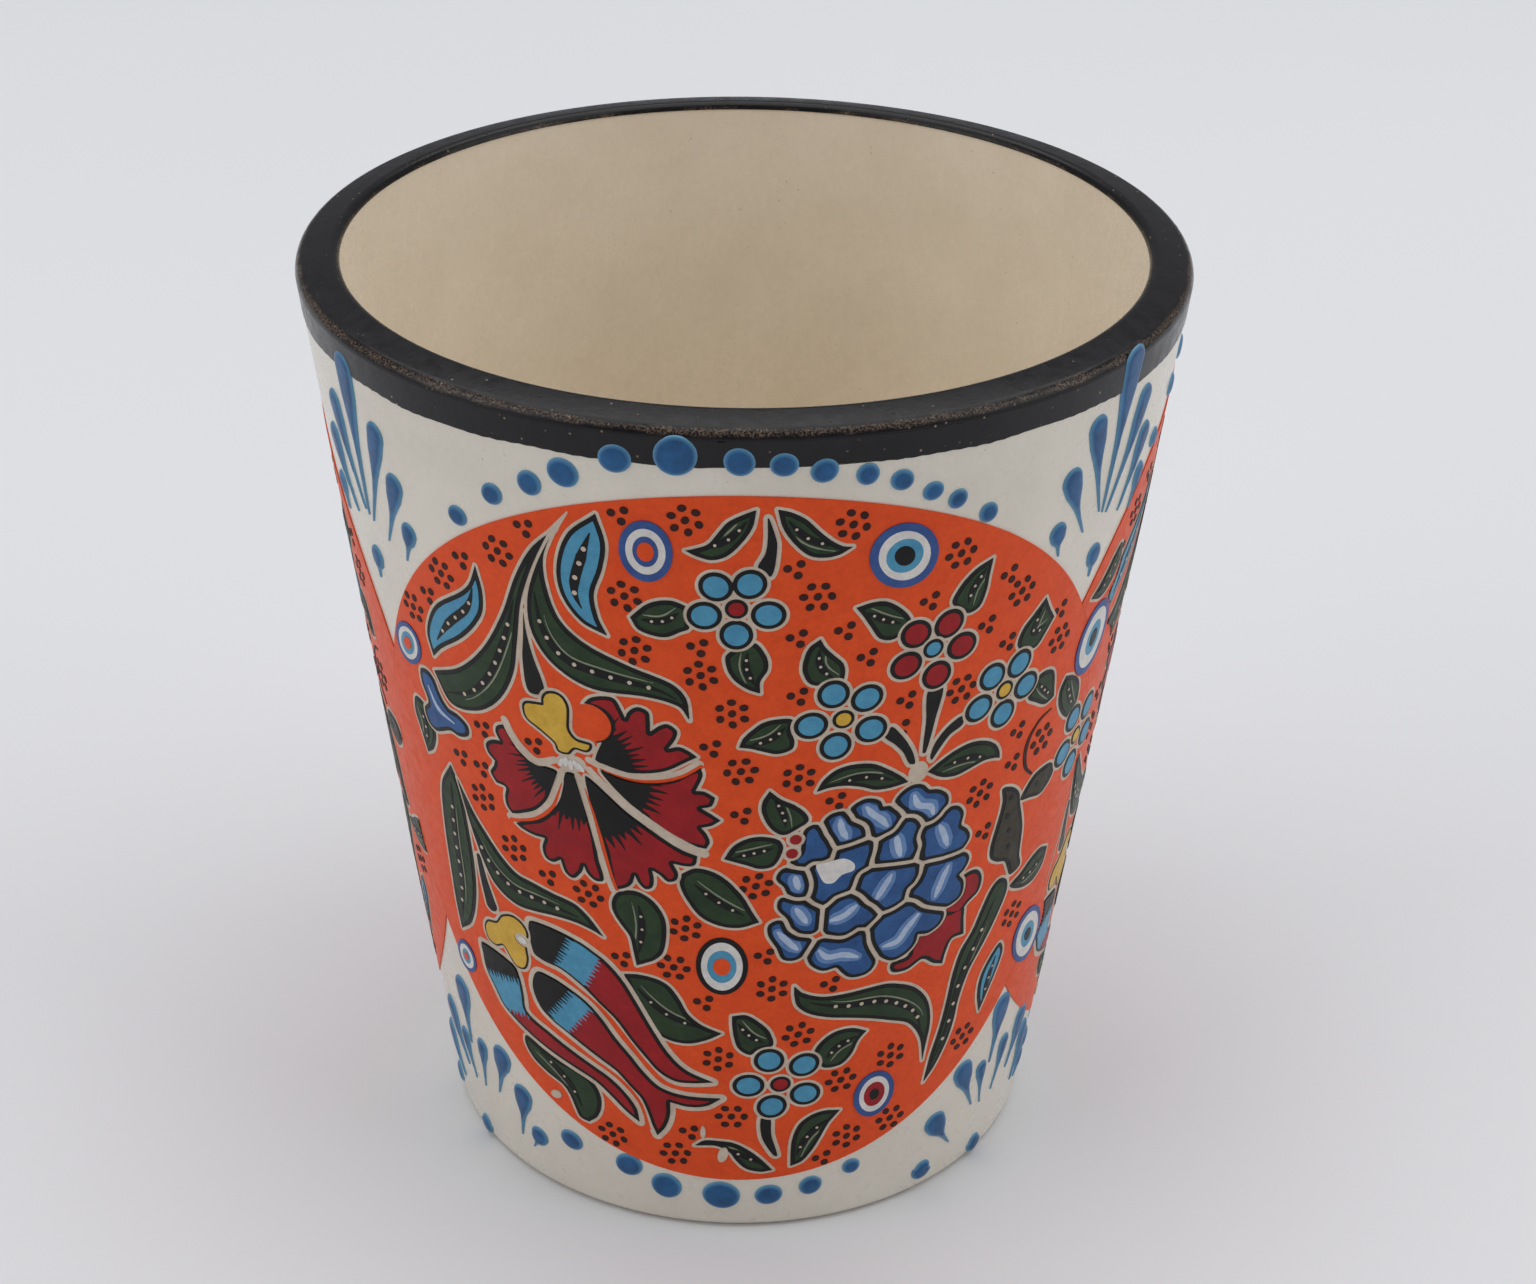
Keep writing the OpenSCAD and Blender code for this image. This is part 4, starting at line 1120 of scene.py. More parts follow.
# Tulip petals: an outline, a point where black ends and one where light blue ends, and the way
# the brush strokes run
TULIP = [
    ([(-17.3, -11.8), (-17.3, -12.8), (-17.1, -13.9), (-16.4, -15), (-15.7, -16), (-14.2, -16.8),
      (-12.3, -17.5), (-10.2, -18.1), (-8.8, -18.6), (-7.7, -19.5), (-6.9, -20.3), (-6, -21, S),
      (-6.2, -19.9), (-6.9, -18.8), (-7.9, -17.9), (-9.1, -17.3), (-10.5, -16.7), (-11.9, -16.1),
      (-13.7, -15.3), (-13.9, -14), (-14.1, -12.8), (-14.6, -11.9)], (-15.5, -13.7), (-14, -15.9),
      (0.35, -1)),
    ([(-12.7, -11.4), (-11.6, -11.3), (-10.5, -11.6), (-9.3, -12.2), (-8.3, -13.2), (-7.4, -14.5),
      (-6.5, -15.6), (-5.7, -16.7), (-4.7, -17.7), (-3.3, -18.1), (-1, -18.1, S), (-1.9, -18.8),
      (-3, -19), (-4.1, -18.8, S), (-4.1, -19.9), (-4.4, -21), (-4.9, -21.8, S), (-5.2, -21),
      (-5.5, -19.9), (-5.9, -18.9), (-6.6, -18.1), (-7.4, -17.2), (-8.4, -16.6), (-9.5, -16),
      (-10.6, -15.4), (-11.7, -14.9), (-12.6, -14.2), (-13.1, -12.8)],
     (-10.9, -13.3), (-9.6, -14.1), (0.9, -0.55)),
    ([(-13.1, -7.6), (-12.3, -7.3), (-10.9, -7.3), (-9.5, -7.6), (-8.7, -8), (-7.9, -8.5), (-7, -9.5),
      (-6.3, -10.7), (-5.6, -12.1), (-4.9, -13.5), (-4.1, -14.9), (-3.1, -16), (-1.5, -16.8, S),
      (-2.7, -17), (-3.8, -17), (-4.8, -16.4), (-5.6, -15.4), (-6.5, -14.2), (-7.4, -12.9),
      (-8.4, -12), (-9.4, -11.1), (-10.9, -10.3), (-12.3, -10.2), (-12.9, -9.9)], (-10.5, -8.8),
      (-8.6, -9.8), (0.9, -0.35)),
]
TULIP_RIBS = [
    [(-13.4, -10.4), (-11.6, -10.8), (-9.8, -11.4), (-8.2, -12.5), (-6.9, -14.1), (-5.5, -16),
     (-4.2, -17.3), (-2, -17.6)],
    [(-13.8, -11.4), (-13.6, -13.2), (-13.1, -14.7), (-11.4, -15.6), (-9, -16.8), (-7.2, -17.8),
     (-6, -19.3), (-5.4, -21.4)],
]
TULIP_CALYX = [
    (-14.4, -7.8), (-13.6, -8), (-13.2, -8.7), (-13.4, -9.6), (-13.3, -10.8), (-13.6, -11.7),
    (-14.3, -11.9), (-14.9, -11.3), (-15.3, -10.8), (-15.9, -11.2), (-16.6, -11.1), (-16.9, -10.3),
    (-16.6, -9.5), (-15.8, -9.1), (-15.3, -8.3),
]


def tulip(sheet):
    petals = [filled(sheet, smooth(outline)) for outline, *_ in TULIP]
    outlined(sheet, [(shape, "red") for shape in petals], halo=0.33, line=0.24)
    for shape, (_, black_end, blue_end, way) in zip(petals, TULIP):
        inner = shape.grown(-0.17)
        band = inner.within(brushed(shape, blue_end, way, 0.35))
        sheet.clear(band, only=("red",))
        sheet.add("sky", band)
        sheet.add("dark", shape.grown(-0.1).within(brushed(shape, black_end, way, 0.5, 0.14)))
    for line in TULIP_RIBS:
        sheet.clear(stroke(sheet, line, (0.2, 0.3, 0.2)), only=("cream",))
    outlined(sheet, [(filled(sheet, smooth(TULIP_CALYX)), "yellow")], line=0.14)
    sheet.over("cream", oval(sheet, (-13.7, -9.4), 0.6, 0.5))
    sheet.add("white", oval(sheet, (-13.7, -9.4), 0.32, 0.25))


def left_flower(sheet):
    """The half hidden flower at the left edge."""
    outline = [
        (-20.9, 7.2), (-20.2, 7.5), (-19.6, 7.2), (-19.2, 6.4), (-18.5, 5.7), (-17.7, 5.7),
        (-16.9, 5.3), (-16.9, 4.6), (-17.7, 4.1), (-18.4, 4.1), (-19.2, 3.6), (-19.9, 3.2),
        (-20.6, 3.4), (-20.9, 4.3), (-20.4, 5.1), (-20.9, 6.2),
    ]
    outlined(sheet, [(filled(sheet, smooth(outline)), "deep")], halo=0.2)
    sheet.add("streak", stroke(sheet, [(-20.2, 6.4), (-19.4, 5.2), (-18, 4.9)], (0.1, 0.35, 0.1)))


# Beads: centre, turn, and the rings from the outside in
BEADS = [
    ((-5.1, 21.2), 90,
     ("bead", 1.93, 1.45), ("white", 1.45, 1.08), ("bead", 0.97, 0.7), ("ember", 0.6, 0.46)),
    ((8.7, 20.4), 120,
     ("bead", 2.15, 1.9), ("white", 1.66, 1.42), ("sky", 1.1, 1.05), ("dark", 0.66, 0.56)),
    ((-1, -7.5), 90,
     ("black", 2.2, 1.5), ("white", 1.85, 1.2), ("sky", 1.25, 0.85), ("ember", 0.65, 0.5)),
    ((-22, 8.4), 60,
     ("bead", 1.6, 1.25), ("white", 1.3, 0.95), ("sky", 0.95, 0.65), ("ember", 0.5, 0.35)),
    ((8.4, -19.3), 90,
     ("bead", 1.85, 1.35), ("white", 1.45, 1), ("red", 1, 0.7), ("dark", 0.45, 0.32)),
    ((-19.2, -14.4), 80,
     ("bead", 1.25, 1), ("white", 0.95, 0.75), ("sky", 0.6, 0.45), ("ember", 0.3, 0.22)),
]


# Light flecks where the print has missed: centre, radii, turn
FLECKS = [((-0.9, -22.8), 0.3, 0.62, -12), ((-11.7, -21.1), 0.42, 0.3, 30), ((-2.1, -21), 0.16, 0.5, 0)]


def draw_medallion():
    """The whole motif, with room on the right of it for what runs over the seam."""
    sheet = Sheet((-26.2, -26.2), (28, 26.2))
    sheet.layer("ground")[:] = np.hypot(sheet.x[None, :], sheet.y[:, None]) - MEDALLION_R
    berries(sheet)
    carnation_leaves(sheet)
    tulip_leaves(sheet)
    peony_leaves(sheet)
    for outline in BLOSSOM_STEMS:
        wedge(sheet, outline)
    for outline in SMALL_LEAVES:
        leaf(sheet, outline)
    sheet.over("cream", oval(sheet, (10.2, 5.2), 0.62, 0.75))
    for centre, petals, fill, eye in BLOSSOMS:
        blossom(sheet, centre, petals, fill, eye)
    carnation(sheet)
    tulip(sheet)
    peony(sheet)
    trunk(sheet)
    left_flower(sheet)
    for centre, turn, *rings in BEADS:
        bead(sheet, centre, turn, *rings)
    for centre, rx, ry, turn in FLECKS:
        sheet.add("fleck", oval(sheet, centre, rx, ry, turn))
    return sheet


# Motifs that run over the seam on to the right medallion
SEAM_LEAVES = [
    [(21.4, 6.7, S), (22.3, 6.2), (23.1, 5.3), (23.3, 4.2), (23, 3.2), (22.2, 3.1), (21.4, 3.9),
     (20.9, 5), (20.9, 6)],
    [(23.2, 11.2, S), (24.4, 11.9), (25.6, 12.8), (26.6, 13.2), (26.9, 12.4), (26.6, 11.5),
     (25.6, 10.8), (24.4, 10.6)],
]
SEAM_BEADS = [
    ((24.2, 7.8), 70,
     ("bead", 2.4, 1.9), ("white", 1.95, 1.5), ("sky", 1.15, 0.85), ("dark", 0.6, 0.42)),
    ((20.9, -13.5), 110,
     ("bead", 2.4, 1.7), ("white", 1.95, 1.35), ("sky", 1.15, 0.8), ("dark", 0.55, 0.4)),
]
SEAM_BLOSSOM = ((23.9, 0.5), [(23.1, 2.4), (25.2, 1.9), (22.3, 0.2), (23.6, -1.5), (25.5, -0.4)])
# Circles on the front medallion's flat frame that its seam motifs cover: x, y, radius
SEAM_COVERS = [(24.2, 7.8, 2.4), (20.9, -13.5, 2.4), (23.9, 0.5, 2.95), (25.2, 11.8, 1.9)]
# Circles on the right medallion's own frame that stay empty beside the seam
SEAM_GAPS = [(-19.2, 5.3, 3.0), (-22, 8.4, 2.0), (-21.1, 2.6, 2.6), (-19.2, -14.4, 1.6)]


def draw_seam(sheet):
    """The motifs that run over the front medallion's right edge on to its neighbour."""
    for outline in SEAM_LEAVES:
        leaf(sheet, outline)
    blossom(sheet, *SEAM_BLOSSOM, "sky", "yellow")
    for centre, turn, *rings in SEAM_BEADS:
        bead(sheet, centre, turn, *rings)


# Enamel dots in the arcs above and below a medallion: x, y, radius
UPPER_DOTS = [
    (-16.5, 20.1, 0.65), (-14, 22.5, 0.68), (-11.6, 24, 0.75), (-9.6, 25.2, 0.9), (-6.7, 26.7, 0.9),
    (-3.5, 27.3, 1.2), (-0.2, 27.1, 0.85), (2.1, 26.9, 0.75), (4.2, 26.4, 0.75), (6.5, 25.9, 0.66),
    (8.4, 25.2, 0.66), (10.2, 24.1, 0.6), (11.7, 23.2, 0.6), (13.7, 21.7, 0.62),
]
LOWER_DOTS = [
    (-10.8, -24.7, 0.8), (-6.8, -25, 0.9), (-4.4, -26.1, 1), (-1, -26.4, 1.15), (1.9, -26.4, 0.85),
    (4.5, -26, 0.75), (7.1, -25.1, 0.6),
]

# Enamel drops of the sprays: head, tail end, head radius
UPPER_SPRAY = [
    ((0.5, 27.2), (0.2, 17.8), 1.05), ((-2.1, 24), (-0.2, 18), 0.85), ((3, 24), (0.7, 17.6), 0.85),
    ((-3.6, 21.2), (-1.6, 17.2), 0.85), ((4.1, 21.2), (2.3, 17), 0.82), ((-4, 18),
    (-3.6, 16.4), 0.72), ((4.7, 18.4), (4, 16.4), 0.7), ((0.2, 15), (0.1, 13.6), 0.75),
]
LOWER_SPRAY = [
    ((0.2, -17), (0, -21.5), 0.95), ((-2.9, -20.6), (-1.3, -24.2), 0.9), ((3.9, -20.3),
    (2.8, -23.8), 0.9), ((-4.7, -23.9), (-3, -26.4), 0.9), ((5.4, -22.6), (4.6, -26.2), 0.85),
    ((-5.1, -27.6), (-5, -27.2), 0.85), ((6.3, -25.5), (5.6, -26.7), 0.75), ((0, -28.2),
    (0, -27.9), 0.8), ((-0.9, -21.4), (-0.3, -24.6), 0.55), ((1.6, -20.8), (1, -24.4), 0.6),
]


def drops(spray, lift):
    """A spray's drops, lift mm higher on the wall than they are listed."""
    sheet = Sheet((-8.5, -30), (8.5, 30.5))
    for (hx, hy), (tx, ty), r in spray:
        head, tail = (hx, hy + lift), (tx, ty + lift)
        middle = (0.55 * hx + 0.45 * tx, 0.5 * (head[1] + tail[1]))
        widths = (1.9 * r, 1.7 * r, 1.1 * r, 0.6 * r, 0.38 * r, 0.28 * r, 0.15)
        sheet.add("enamel", stroke(sheet, [head, middle, tail], widths))
    return sheet


def dots(row):
    """A row of dots, each slightly oval and turned its own way."""
    heights = [y for _, y, _ in row]
    sheet = Sheet((-18.5, min(heights) - 2), (15.5, max(heights) + 2))
    for k, (x, y, r) in enumerate(row):
        sheet.add("enamel", oval(sheet, (x, y), r * 1.03, r * 0.97, 50 * k))
    return sheet


# ---------------------------------------------------------------- finishes


def ring_distance(nodes, r, z):
    """The distance in mm from a circle round the axis, of radius r at the height z, both in mm."""
    parts = nodes.add("ShaderNodeSeparateXYZ")
    nodes.feed(parts.inputs[0], nodes.place)
    flat = nodes.add("ShaderNodeCombineXYZ")
    nodes.feed(flat.inputs[0], parts.outputs["X"])
    nodes.feed(flat.inputs[1], parts.outputs["Y"])
    out = nodes.add("ShaderNodeVectorMath", operation="LENGTH")
    nodes.feed(out.inputs[0], flat.outputs[0])
    section = nodes.add("ShaderNodeCombineXYZ")
    nodes.feed(section.inputs[0], nodes.scaled(out.outputs["Value"], 1 / MM, -r))
    nodes.feed(section.inputs[1], nodes.scaled(parts.outputs["Z"], 1 / MM, -z))
    away = nodes.add("ShaderNodeVectorMath", operation="LENGTH")
    nodes.feed(away.inputs[0], section.outputs[0])
    return away.outputs["Value"]


def glaze_material(name, light, dark, speck, roughness=0.3):
    """A soft clear glaze over a pale body: cloudy tone, pin-prick specks and faint orange peel."""
    light, dark, speck = (linear(*tone) for tone in (light, dark, speck))
    nodes = Nodes(name)
    cloud = nodes.ramp(nodes.noise(160, 4, 0.6), (0.35, dark), (0.65, light))
    fine = nodes.ramp(nodes.noise(2600, 3, 0.7), (0.3, (0.97, 0.967, 0.96)), (0.6, (1.0, 1.0, 1.0)))
    tone = nodes.mix(1.0, cloud, fine, "MULTIPLY")
    specks = nodes.ramp(nodes.cells(1100), (0.04, 0.6), (0.09, 0.0))
    rare = nodes.ramp(nodes.noise(420, 2), (0.52, 0.0), (0.6, 1.0))
    where = nodes.mix(1.0, specks, rare, "MULTIPLY")
    nodes.set(
        Base_Color=nodes.mix(where, tone, speck),
        Roughness=nodes.ramp(nodes.noise(900, 3), (0.3, roughness - 0.06), (0.7, roughness + 0.08)),
        Coat_Weight=0.3,
        Coat_Roughness=0.18,
    )
    peel = nodes.bump(nodes.noise(700, 2), 0.012 * MM)
    pits = nodes.bump(nodes.ramp(nodes.cells(1500), (0.06, 0.0), (0.16, 1.0)), 0.012 * MM, 0.5, peel)
    nodes.set(Normal=nodes.bump(nodes.noise(4500, 3, 0.7), 0.006 * MM, 1.0, pits))
    return nodes.material


INK_GRAIN = 3000


def ink_material(name, light, dark, roughness):
    """Screen-printed ink under glaze: a slightly uneven tone and a fine grain."""
    light, dark = linear(*light), linear(*dark)
    nodes = Nodes(name)
    patchy = nodes.ramp(nodes.noise(700, 4, 0.65), (0.3, dark), (0.7, light))
    grain = nodes.noise(INK_GRAIN, 3, 0.7)
    fine = nodes.ramp(grain, (0.25, (0.86, 0.86, 0.86)), (0.65, (1.0, 1.0, 1.0)))
    nodes.set(
        Base_Color=nodes.mix(1.0, patchy, fine, "MULTIPLY"),
        Roughness=nodes.ramp(nodes.noise(1600, 2), (0.3, roughness - 0.06), (0.7, roughness + 0.08)),
        Specular_IOR_Level=0.18,
    )
    nodes.set(Normal=nodes.bump(nodes.noise(INK_GRAIN, 3, 0.6), 0.008 * MM))
    return nodes.material


def enamel_material(name, deep, mid, pale):
    """Raised blue enamel: thin and pale at its edge, deeper and cloudy where it is thick."""
    deep, mid, pale = (linear(*tone) for tone in (deep, mid, pale))
    nodes = Nodes(name)
    body = nodes.ramp(nodes.noise(900, 4, 0.6), (0.35, deep), (0.68, mid))
    thick = nodes.ramp(nodes.attribute("depth"), (0.0, 0.0), (0.16, 0.5), (0.5, 1.0))
    nodes.set(
        Base_Color=nodes.mix(thick, pale, body),
        Roughness=nodes.ramp(nodes.noise(1500, 3), (0.3, 0.3), (0.7, 0.42)),
        Specular_IOR_Level=0.3,
    )
    nodes.set(Normal=nodes.bump(nodes.noise(2200, 3, 0.6), 0.012 * MM))
    return nodes.material


def rim_material():
    """Black glaze, worn brown where it runs thin over the lip's two edges, with pinholes."""
    nodes = Nodes("black_rim_glaze")
    black = nodes.ramp(nodes.noise(500, 4, 0.6), (0.3, linear(13, 12, 14)), (0.7, linear(23, 21, 24)))
    gritty = nodes.noise(9000, 2, 0.8)
    brown = nodes.ramp(gritty, (0.44, linear(14, 11, 11)), (0.68, linear(136, 116, 100)))
    wobble = nodes.scaled(nodes.noise(350, 4, 0.7), 0.9, -0.26)
    # The worn lines' radius, height and reach, just over the lip's two roundings
    outer_wear = (lip_c[0] + 0.5, lip_c[1] + 0.42, 0.23)
    inner_wear = (lip_inner_c[0] - 0.42, lip_inner_c[1] + 0.1, 0.16)
    tone = black
    for r, z, near in (outer_wear, inner_wear):
        rough = nodes.mix(0.5, ring_distance(nodes, r, z), wobble)
        worn = nodes.ramp(rough, (near - 0.09, 0.8), (near, 0.0))
        tone = nodes.mix(worn, tone, brown)
    pin = nodes.ramp(nodes.cells(1300), (0.05, 1.0), (0.11, 0.0))
    some = nodes.ramp(nodes.noise(380, 2), (0.5, 0.0), (0.62, 1.0))
    nodes.set(
        Base_Color=nodes.mix(nodes.mix(1.0, pin, some, "MULTIPLY"), tone, linear(150, 128, 108)),
        Roughness=nodes.ramp(nodes.noise(1100, 3), (0.3, 0.2), (0.7, 0.34)),
        Specular_IOR_Level=0.27,
    )
    peel = nodes.bump(nodes.noise(450, 3), 0.02 * MM)
    pits = nodes.bump(nodes.ramp(nodes.cells(1300), (0.05, 0.0), (0.14, 1.0)), 0.03 * MM, 0.8, peel)
    nodes.set(Normal=nodes.bump(nodes.noise(3200, 3, 0.7), 0.008 * MM, 1.0, pits))
    return nodes.material


def bisque_material():
    """Unglazed fired clay: sandy grain and a few dark grits."""
    nodes = Nodes("bisque_clay")
    grain = nodes.noise(1800, 5, 0.7)
    sand = nodes.ramp(grain, (0.3, linear(196, 180, 156)), (0.7, linear(226, 214, 194)))
    grit = nodes.ramp(nodes.cells(1200), (0.06, 1.0), (0.14, 0.0))
    nodes.set(
        Base_Color=nodes.mix(nodes.scaled(grit, 0.5), sand, linear(120, 96, 76)),
        Roughness=nodes.ramp(nodes.noise(900, 2), (0.3, 0.8), (0.7, 0.95)),
    )
    nodes.set(Normal=nodes.bump(nodes.noise(2400, 5, 0.75), 0.03 * MM))
    return nodes.material


# ---------------------------------------------------------------- the body, turned on its axis


def arc(c, r, a0, a1, n=12):
    """Section points from a0 to a1 degrees round c."""
    a = np.radians(np.linspace(a0, a1, n + 1))
    return [(c[0] + r * math.cos(t), c[1] + r * math.sin(t)) for t in a]


DEG = 180 / math.pi
# The middles of the section's roundings, (radius, height)
lip_c_z = glaze_top - LIP_EDGE_R - LIP_FALL
lip_c = (outer_r(lip_c_z) - LIP_EDGE_R / math.cos(taper), lip_c_z)
lip_inner_c_z = glaze_top - LIP_INNER_EDGE_R
lip_inner_c = (inner_r(lip_inner_c_z) + LIP_INNER_EDGE_R / math.cos(taper_in), lip_inner_c_z)
floor_c = (inner_r(FLOOR_Z + FLOOR_FILLET) - FLOOR_FILLET / math.cos(taper_in), FLOOR_Z + FLOOR_FILLET)
foot_c = (outer_r(FOOT_EDGE_R) - FOOT_EDGE_R / math.cos(taper), FOOT_EDGE_R)


def lip_line(d):
    """The lip's section, from outside over the top to inside, d under the glazed surface."""
    top = 90 - DEG * math.atan2(LIP_FALL, lip_c[0] - lip_inner_c[0])
    outer = arc(lip_c, LIP_EDGE_R - d, -taper * DEG, top)
    return outer + arc(lip_inner_c, LIP_INNER_EDGE_R - d, top, 180 - taper_in * DEG)


def straight(a, b, step=1.5):
    """Section points from a to b, about step mm apart, without b."""
    n = max(1, round(math.dist(a, b) / step))
    return [tuple(np.add(a, np.subtract(b, a) * k / n)) for k in range(n)]


def cavity_line(d):
    """The inside's section from under the lip down to the middle of the floor."""
    inner = LIP_INNER_EDGE_R - d
    top = (lip_inner_c[0] - inner * math.cos(taper_in), lip_inner_c[1] + inner * math.sin(taper_in))
    curve = arc(floor_c, FLOOR_FILLET + d, -taper_in * DEG, -90, 16)
    floor = (0, FLOOR_Z - d)
    return straight(top, curve[0]) + curve[:-1] + straight(curve[-1], floor) + [floor]


def coat_line(d, z0, z1):
    """The outside's section from z0 up to z1, d outside the glazed surface."""
    a, b = [(outer_r(z) + d / math.cos(taper), z) for z in (z0, z1)]
    return straight(a, b) + [b]


SEGMENTS = 360
CREASE = 35  # edges sharper than this, in degrees, shade as creases
# Where the glaze ends on the rounding of the foot, in degrees from level
GLAZE_START = -48


def turned(name, section, material, replaced, wave=None):
    """A solid of revolution of a closed section. wave(angles, section) may shift its heights."""
    section = np.array(section)
    n = len(section)
    angles = 2 * math.pi * np.arange(SEGMENTS) / SEGMENTS
    r = np.repeat(section[None, :, 0], SEGMENTS, 0)
    z = np.repeat(section[None, :, 1], SEGMENTS, 0)
    if wave:
        z = z + wave(angles[:, None], section[None, :, 1])
    x, y = r * np.sin(angles)[:, None], -r * np.cos(angles)[:, None]
    points = np.stack([x, y, z], 2).reshape(-1, 3) * MM
    on_axis = section[:, 0] < 1e-6
    faces = []
    for i in range(SEGMENTS):
        for k in range(n):
            m = (k + 1) % n
            ring = [(i, k), ((i + 1) % SEGMENTS, k), ((i + 1) % SEGMENTS, m), (i, m)]
            corners = []
            for a, b in ring:
                corner = b if on_axis[b] else a * n + b
                if corner not in corners:
                    corners.append(corner)
            if len(corners) > 2:
                faces.append(corners)
    used = sorted({v for face in faces for v in face})
    order = {v: i for i, v in enumerate(used)}
    faces = [[order[v] for v in face] for face in faces]
    piece = new_piece(name, points[used], faces, material, replaced)
    piece.data.set_sharp_from_angle(angle=math.radians(CREASE))
    return piece


def band_edge(angles, z):
    """How far the hand-banded lower edge of the rim colour rises and falls, in mm."""
    ripple = 0.1 * np.sin(3 * angles + 1) + 0.05 * np.sin(11 * angles) + 0.03 * np.sin(29 * angles + 2)
    ripple = ripple + 0.05 * np.abs(np.sin(94 * angles + 2 * np.sin(5 * angles)))
    return np.where(z < band_z + 0.3, ripple - 0.1, 0.0)


def make_body():
    cream = glaze_material("cream_glaze", (226, 219, 205), (219, 211, 196), (150, 136, 118))
    beige = glaze_material("beige_glaze", (238, 226, 206), (232, 219, 198), (170, 146, 118), 0.26)
    bisque = bisque_material()
    rim = rim_material()
    ring_in = foot_r - FOOT_RING_W
    sole = [(ring_in - RECESS_DRAFT, RECESS_DEPTH), (ring_in - 0.1, 0.06), (ring_in + 0.15, 0.0)]
    body = (
        straight((0, RECESS_DEPTH), sole[0], 3)
        + sole
        + arc(foot_c, FOOT_EDGE_R, -90, GLAZE_START, 4)
        + arc(foot_c, FOOT_EDGE_R - GLAZE_T, GLAZE_START, -taper * DEG, 6)
        + coat_line(-GLAZE_T, bare_z, lip_c[1])
        + lip_line(GLAZE_T)
        + cavity_line(GLAZE_T)
    )
    turned("clay_cup_body", body, bisque, ["clay_body"])
    outside = (
        arc(foot_c, FOOT_EDGE_R, GLAZE_START, -taper * DEG, 8)
        + coat_line(0, bare_z, band_z)
        + coat_line(-GLAZE_T, bare_z, band_z)[::-1]
        + arc(foot_c, FOOT_EDGE_R - GLAZE_T, -taper * DEG, GLAZE_START, 8)
    )
    turned("outside_glaze_coat", outside, cream, ["outer_glaze"])
    lining = cavity_line(0) + cavity_line(GLAZE_T)[::-1]
    turned("inside_glaze_lining", lining, beige, ["inner_glaze"])
    band = (
        coat_line(BAND_PROUD, band_z, lip_c[1])
        + lip_line(-BAND_PROUD)
        + lip_line(GLAZE_T)[::-1]
        + coat_line(-GLAZE_T, band_z, lip_c[1])[::-1]
    )
    turned("black_rim_coat", band, rim, ["rim_band"], wave=band_edge)


# ---------------------------------------------------------------- the decorated wall

# A layer's height over the glaze, finish, material slot and the CAD art it stands for
INKS = {
    "ground": (0.08, "orange", "orange_print", ("medallion",)),
    "cream": (0.1, "cream", "cream_glaze", ()),
    "brown": (0.11, "brown", "black_glaze", ()),
    "black": (0.12, "black", "black_glaze", ()),
    "green": (0.14, "green", "green_ink", ("leaves",)),
    "olive": (0.14, "olive", "green_ink", ()),
    "sky": (0.14, "sky", "light_blue_ink", ("blossoms",)),
    "red": (0.14, "red", "red_ink", ("carnation", "tulip")),
    "deep": (0.14, "deep", "deep_blue_ink", ("peony",)),
    "yellow": (0.14, "yellow", "bead_ink", ()),
    "bead": (0.14, "bead", "bead_ink", ("beads",)),
    "white": (0.14, "white", "bead_ink", ()),
    "dark": (0.155, "black", "black_glaze", ()),
    "thread": (0.17, "cream", "cream_glaze", ()),
    "vein": (0.165, "vein", "green_ink", ()),
    "fleck": (0.175, "cream", "cream_glaze", ()),
    "haze": (0.155, "haze", "deep_blue_ink", ()),
    "streak": (0.17, "streak", "deep_blue_ink", ()),
    "ember": (0.17, "orange", "orange_print", ()),
}
# How far round the wall each medallion's art stands, in degrees
ART_TURN = {"front": 0.0, "right": RIGHT_AZ + 3, "left": LEFT_AZ}
SEAM_CLEAR = 0.02  # what stays open between the front medallion and what is cut for it, in mm

# An ink's material name, its light and dark tone as 0-255 sRGB, and its roughness
INK_TONES = {
    "orange": ("orange_print", (236, 84, 28), (226, 74, 22), 0.4),
    "cream": ("cream_line_ink", (214, 198, 180), (196, 178, 158), 0.45),
    "brown": ("berry_brown_ink", (66, 28, 22), (42, 20, 18), 0.5),
    "black": ("black_outline_ink", (22, 22, 23), (13, 13, 14), 0.38),
    "green": ("leaf_green_ink", (46, 67, 40), (33, 52, 31), 0.4),
    "vein": ("leaf_vein_ink", (150, 152, 132), (120, 126, 106), 0.45),
    "olive": ("olive_brown_ink", (66, 62, 46), (50, 44, 36), 0.45),
    "sky": ("light_blue_ink", (86, 158, 190), (70, 140, 176), 0.36),
    "red": ("red_ink", (166, 26, 32), (142, 20, 26), 0.4),
    "deep": ("deep_blue_ink", (52, 98, 154), (38, 74, 126), 0.38),
    "yellow": ("yellow_ink", (226, 184, 74), (206, 162, 54), 0.4),
    "bead": ("bead_blue_ink", (62, 94, 154), (48, 76, 134), 0.38),
    "white": ("bead_white_ink", (232, 228, 222), (212, 208, 204), 0.4),
    "haze": ("soft_streak_ink", (112, 146, 192), (88, 122, 172), 0.4),
    "streak": ("pale_streak_ink", (190, 204, 224), (160, 178, 206), 0.42),
}


def from_front(turn, u=0.0, v=0.0):
    """A spot of the front medallion's flat frame, in the flat frame turned by turn degrees."""
    a = math.radians(turn) * math.sin(taper)
    c, s = math.cos(a), math.sin(a)
    return (u * c - (v + mid_rho) * s, u * s + (v + mid_rho) * c - mid_rho)


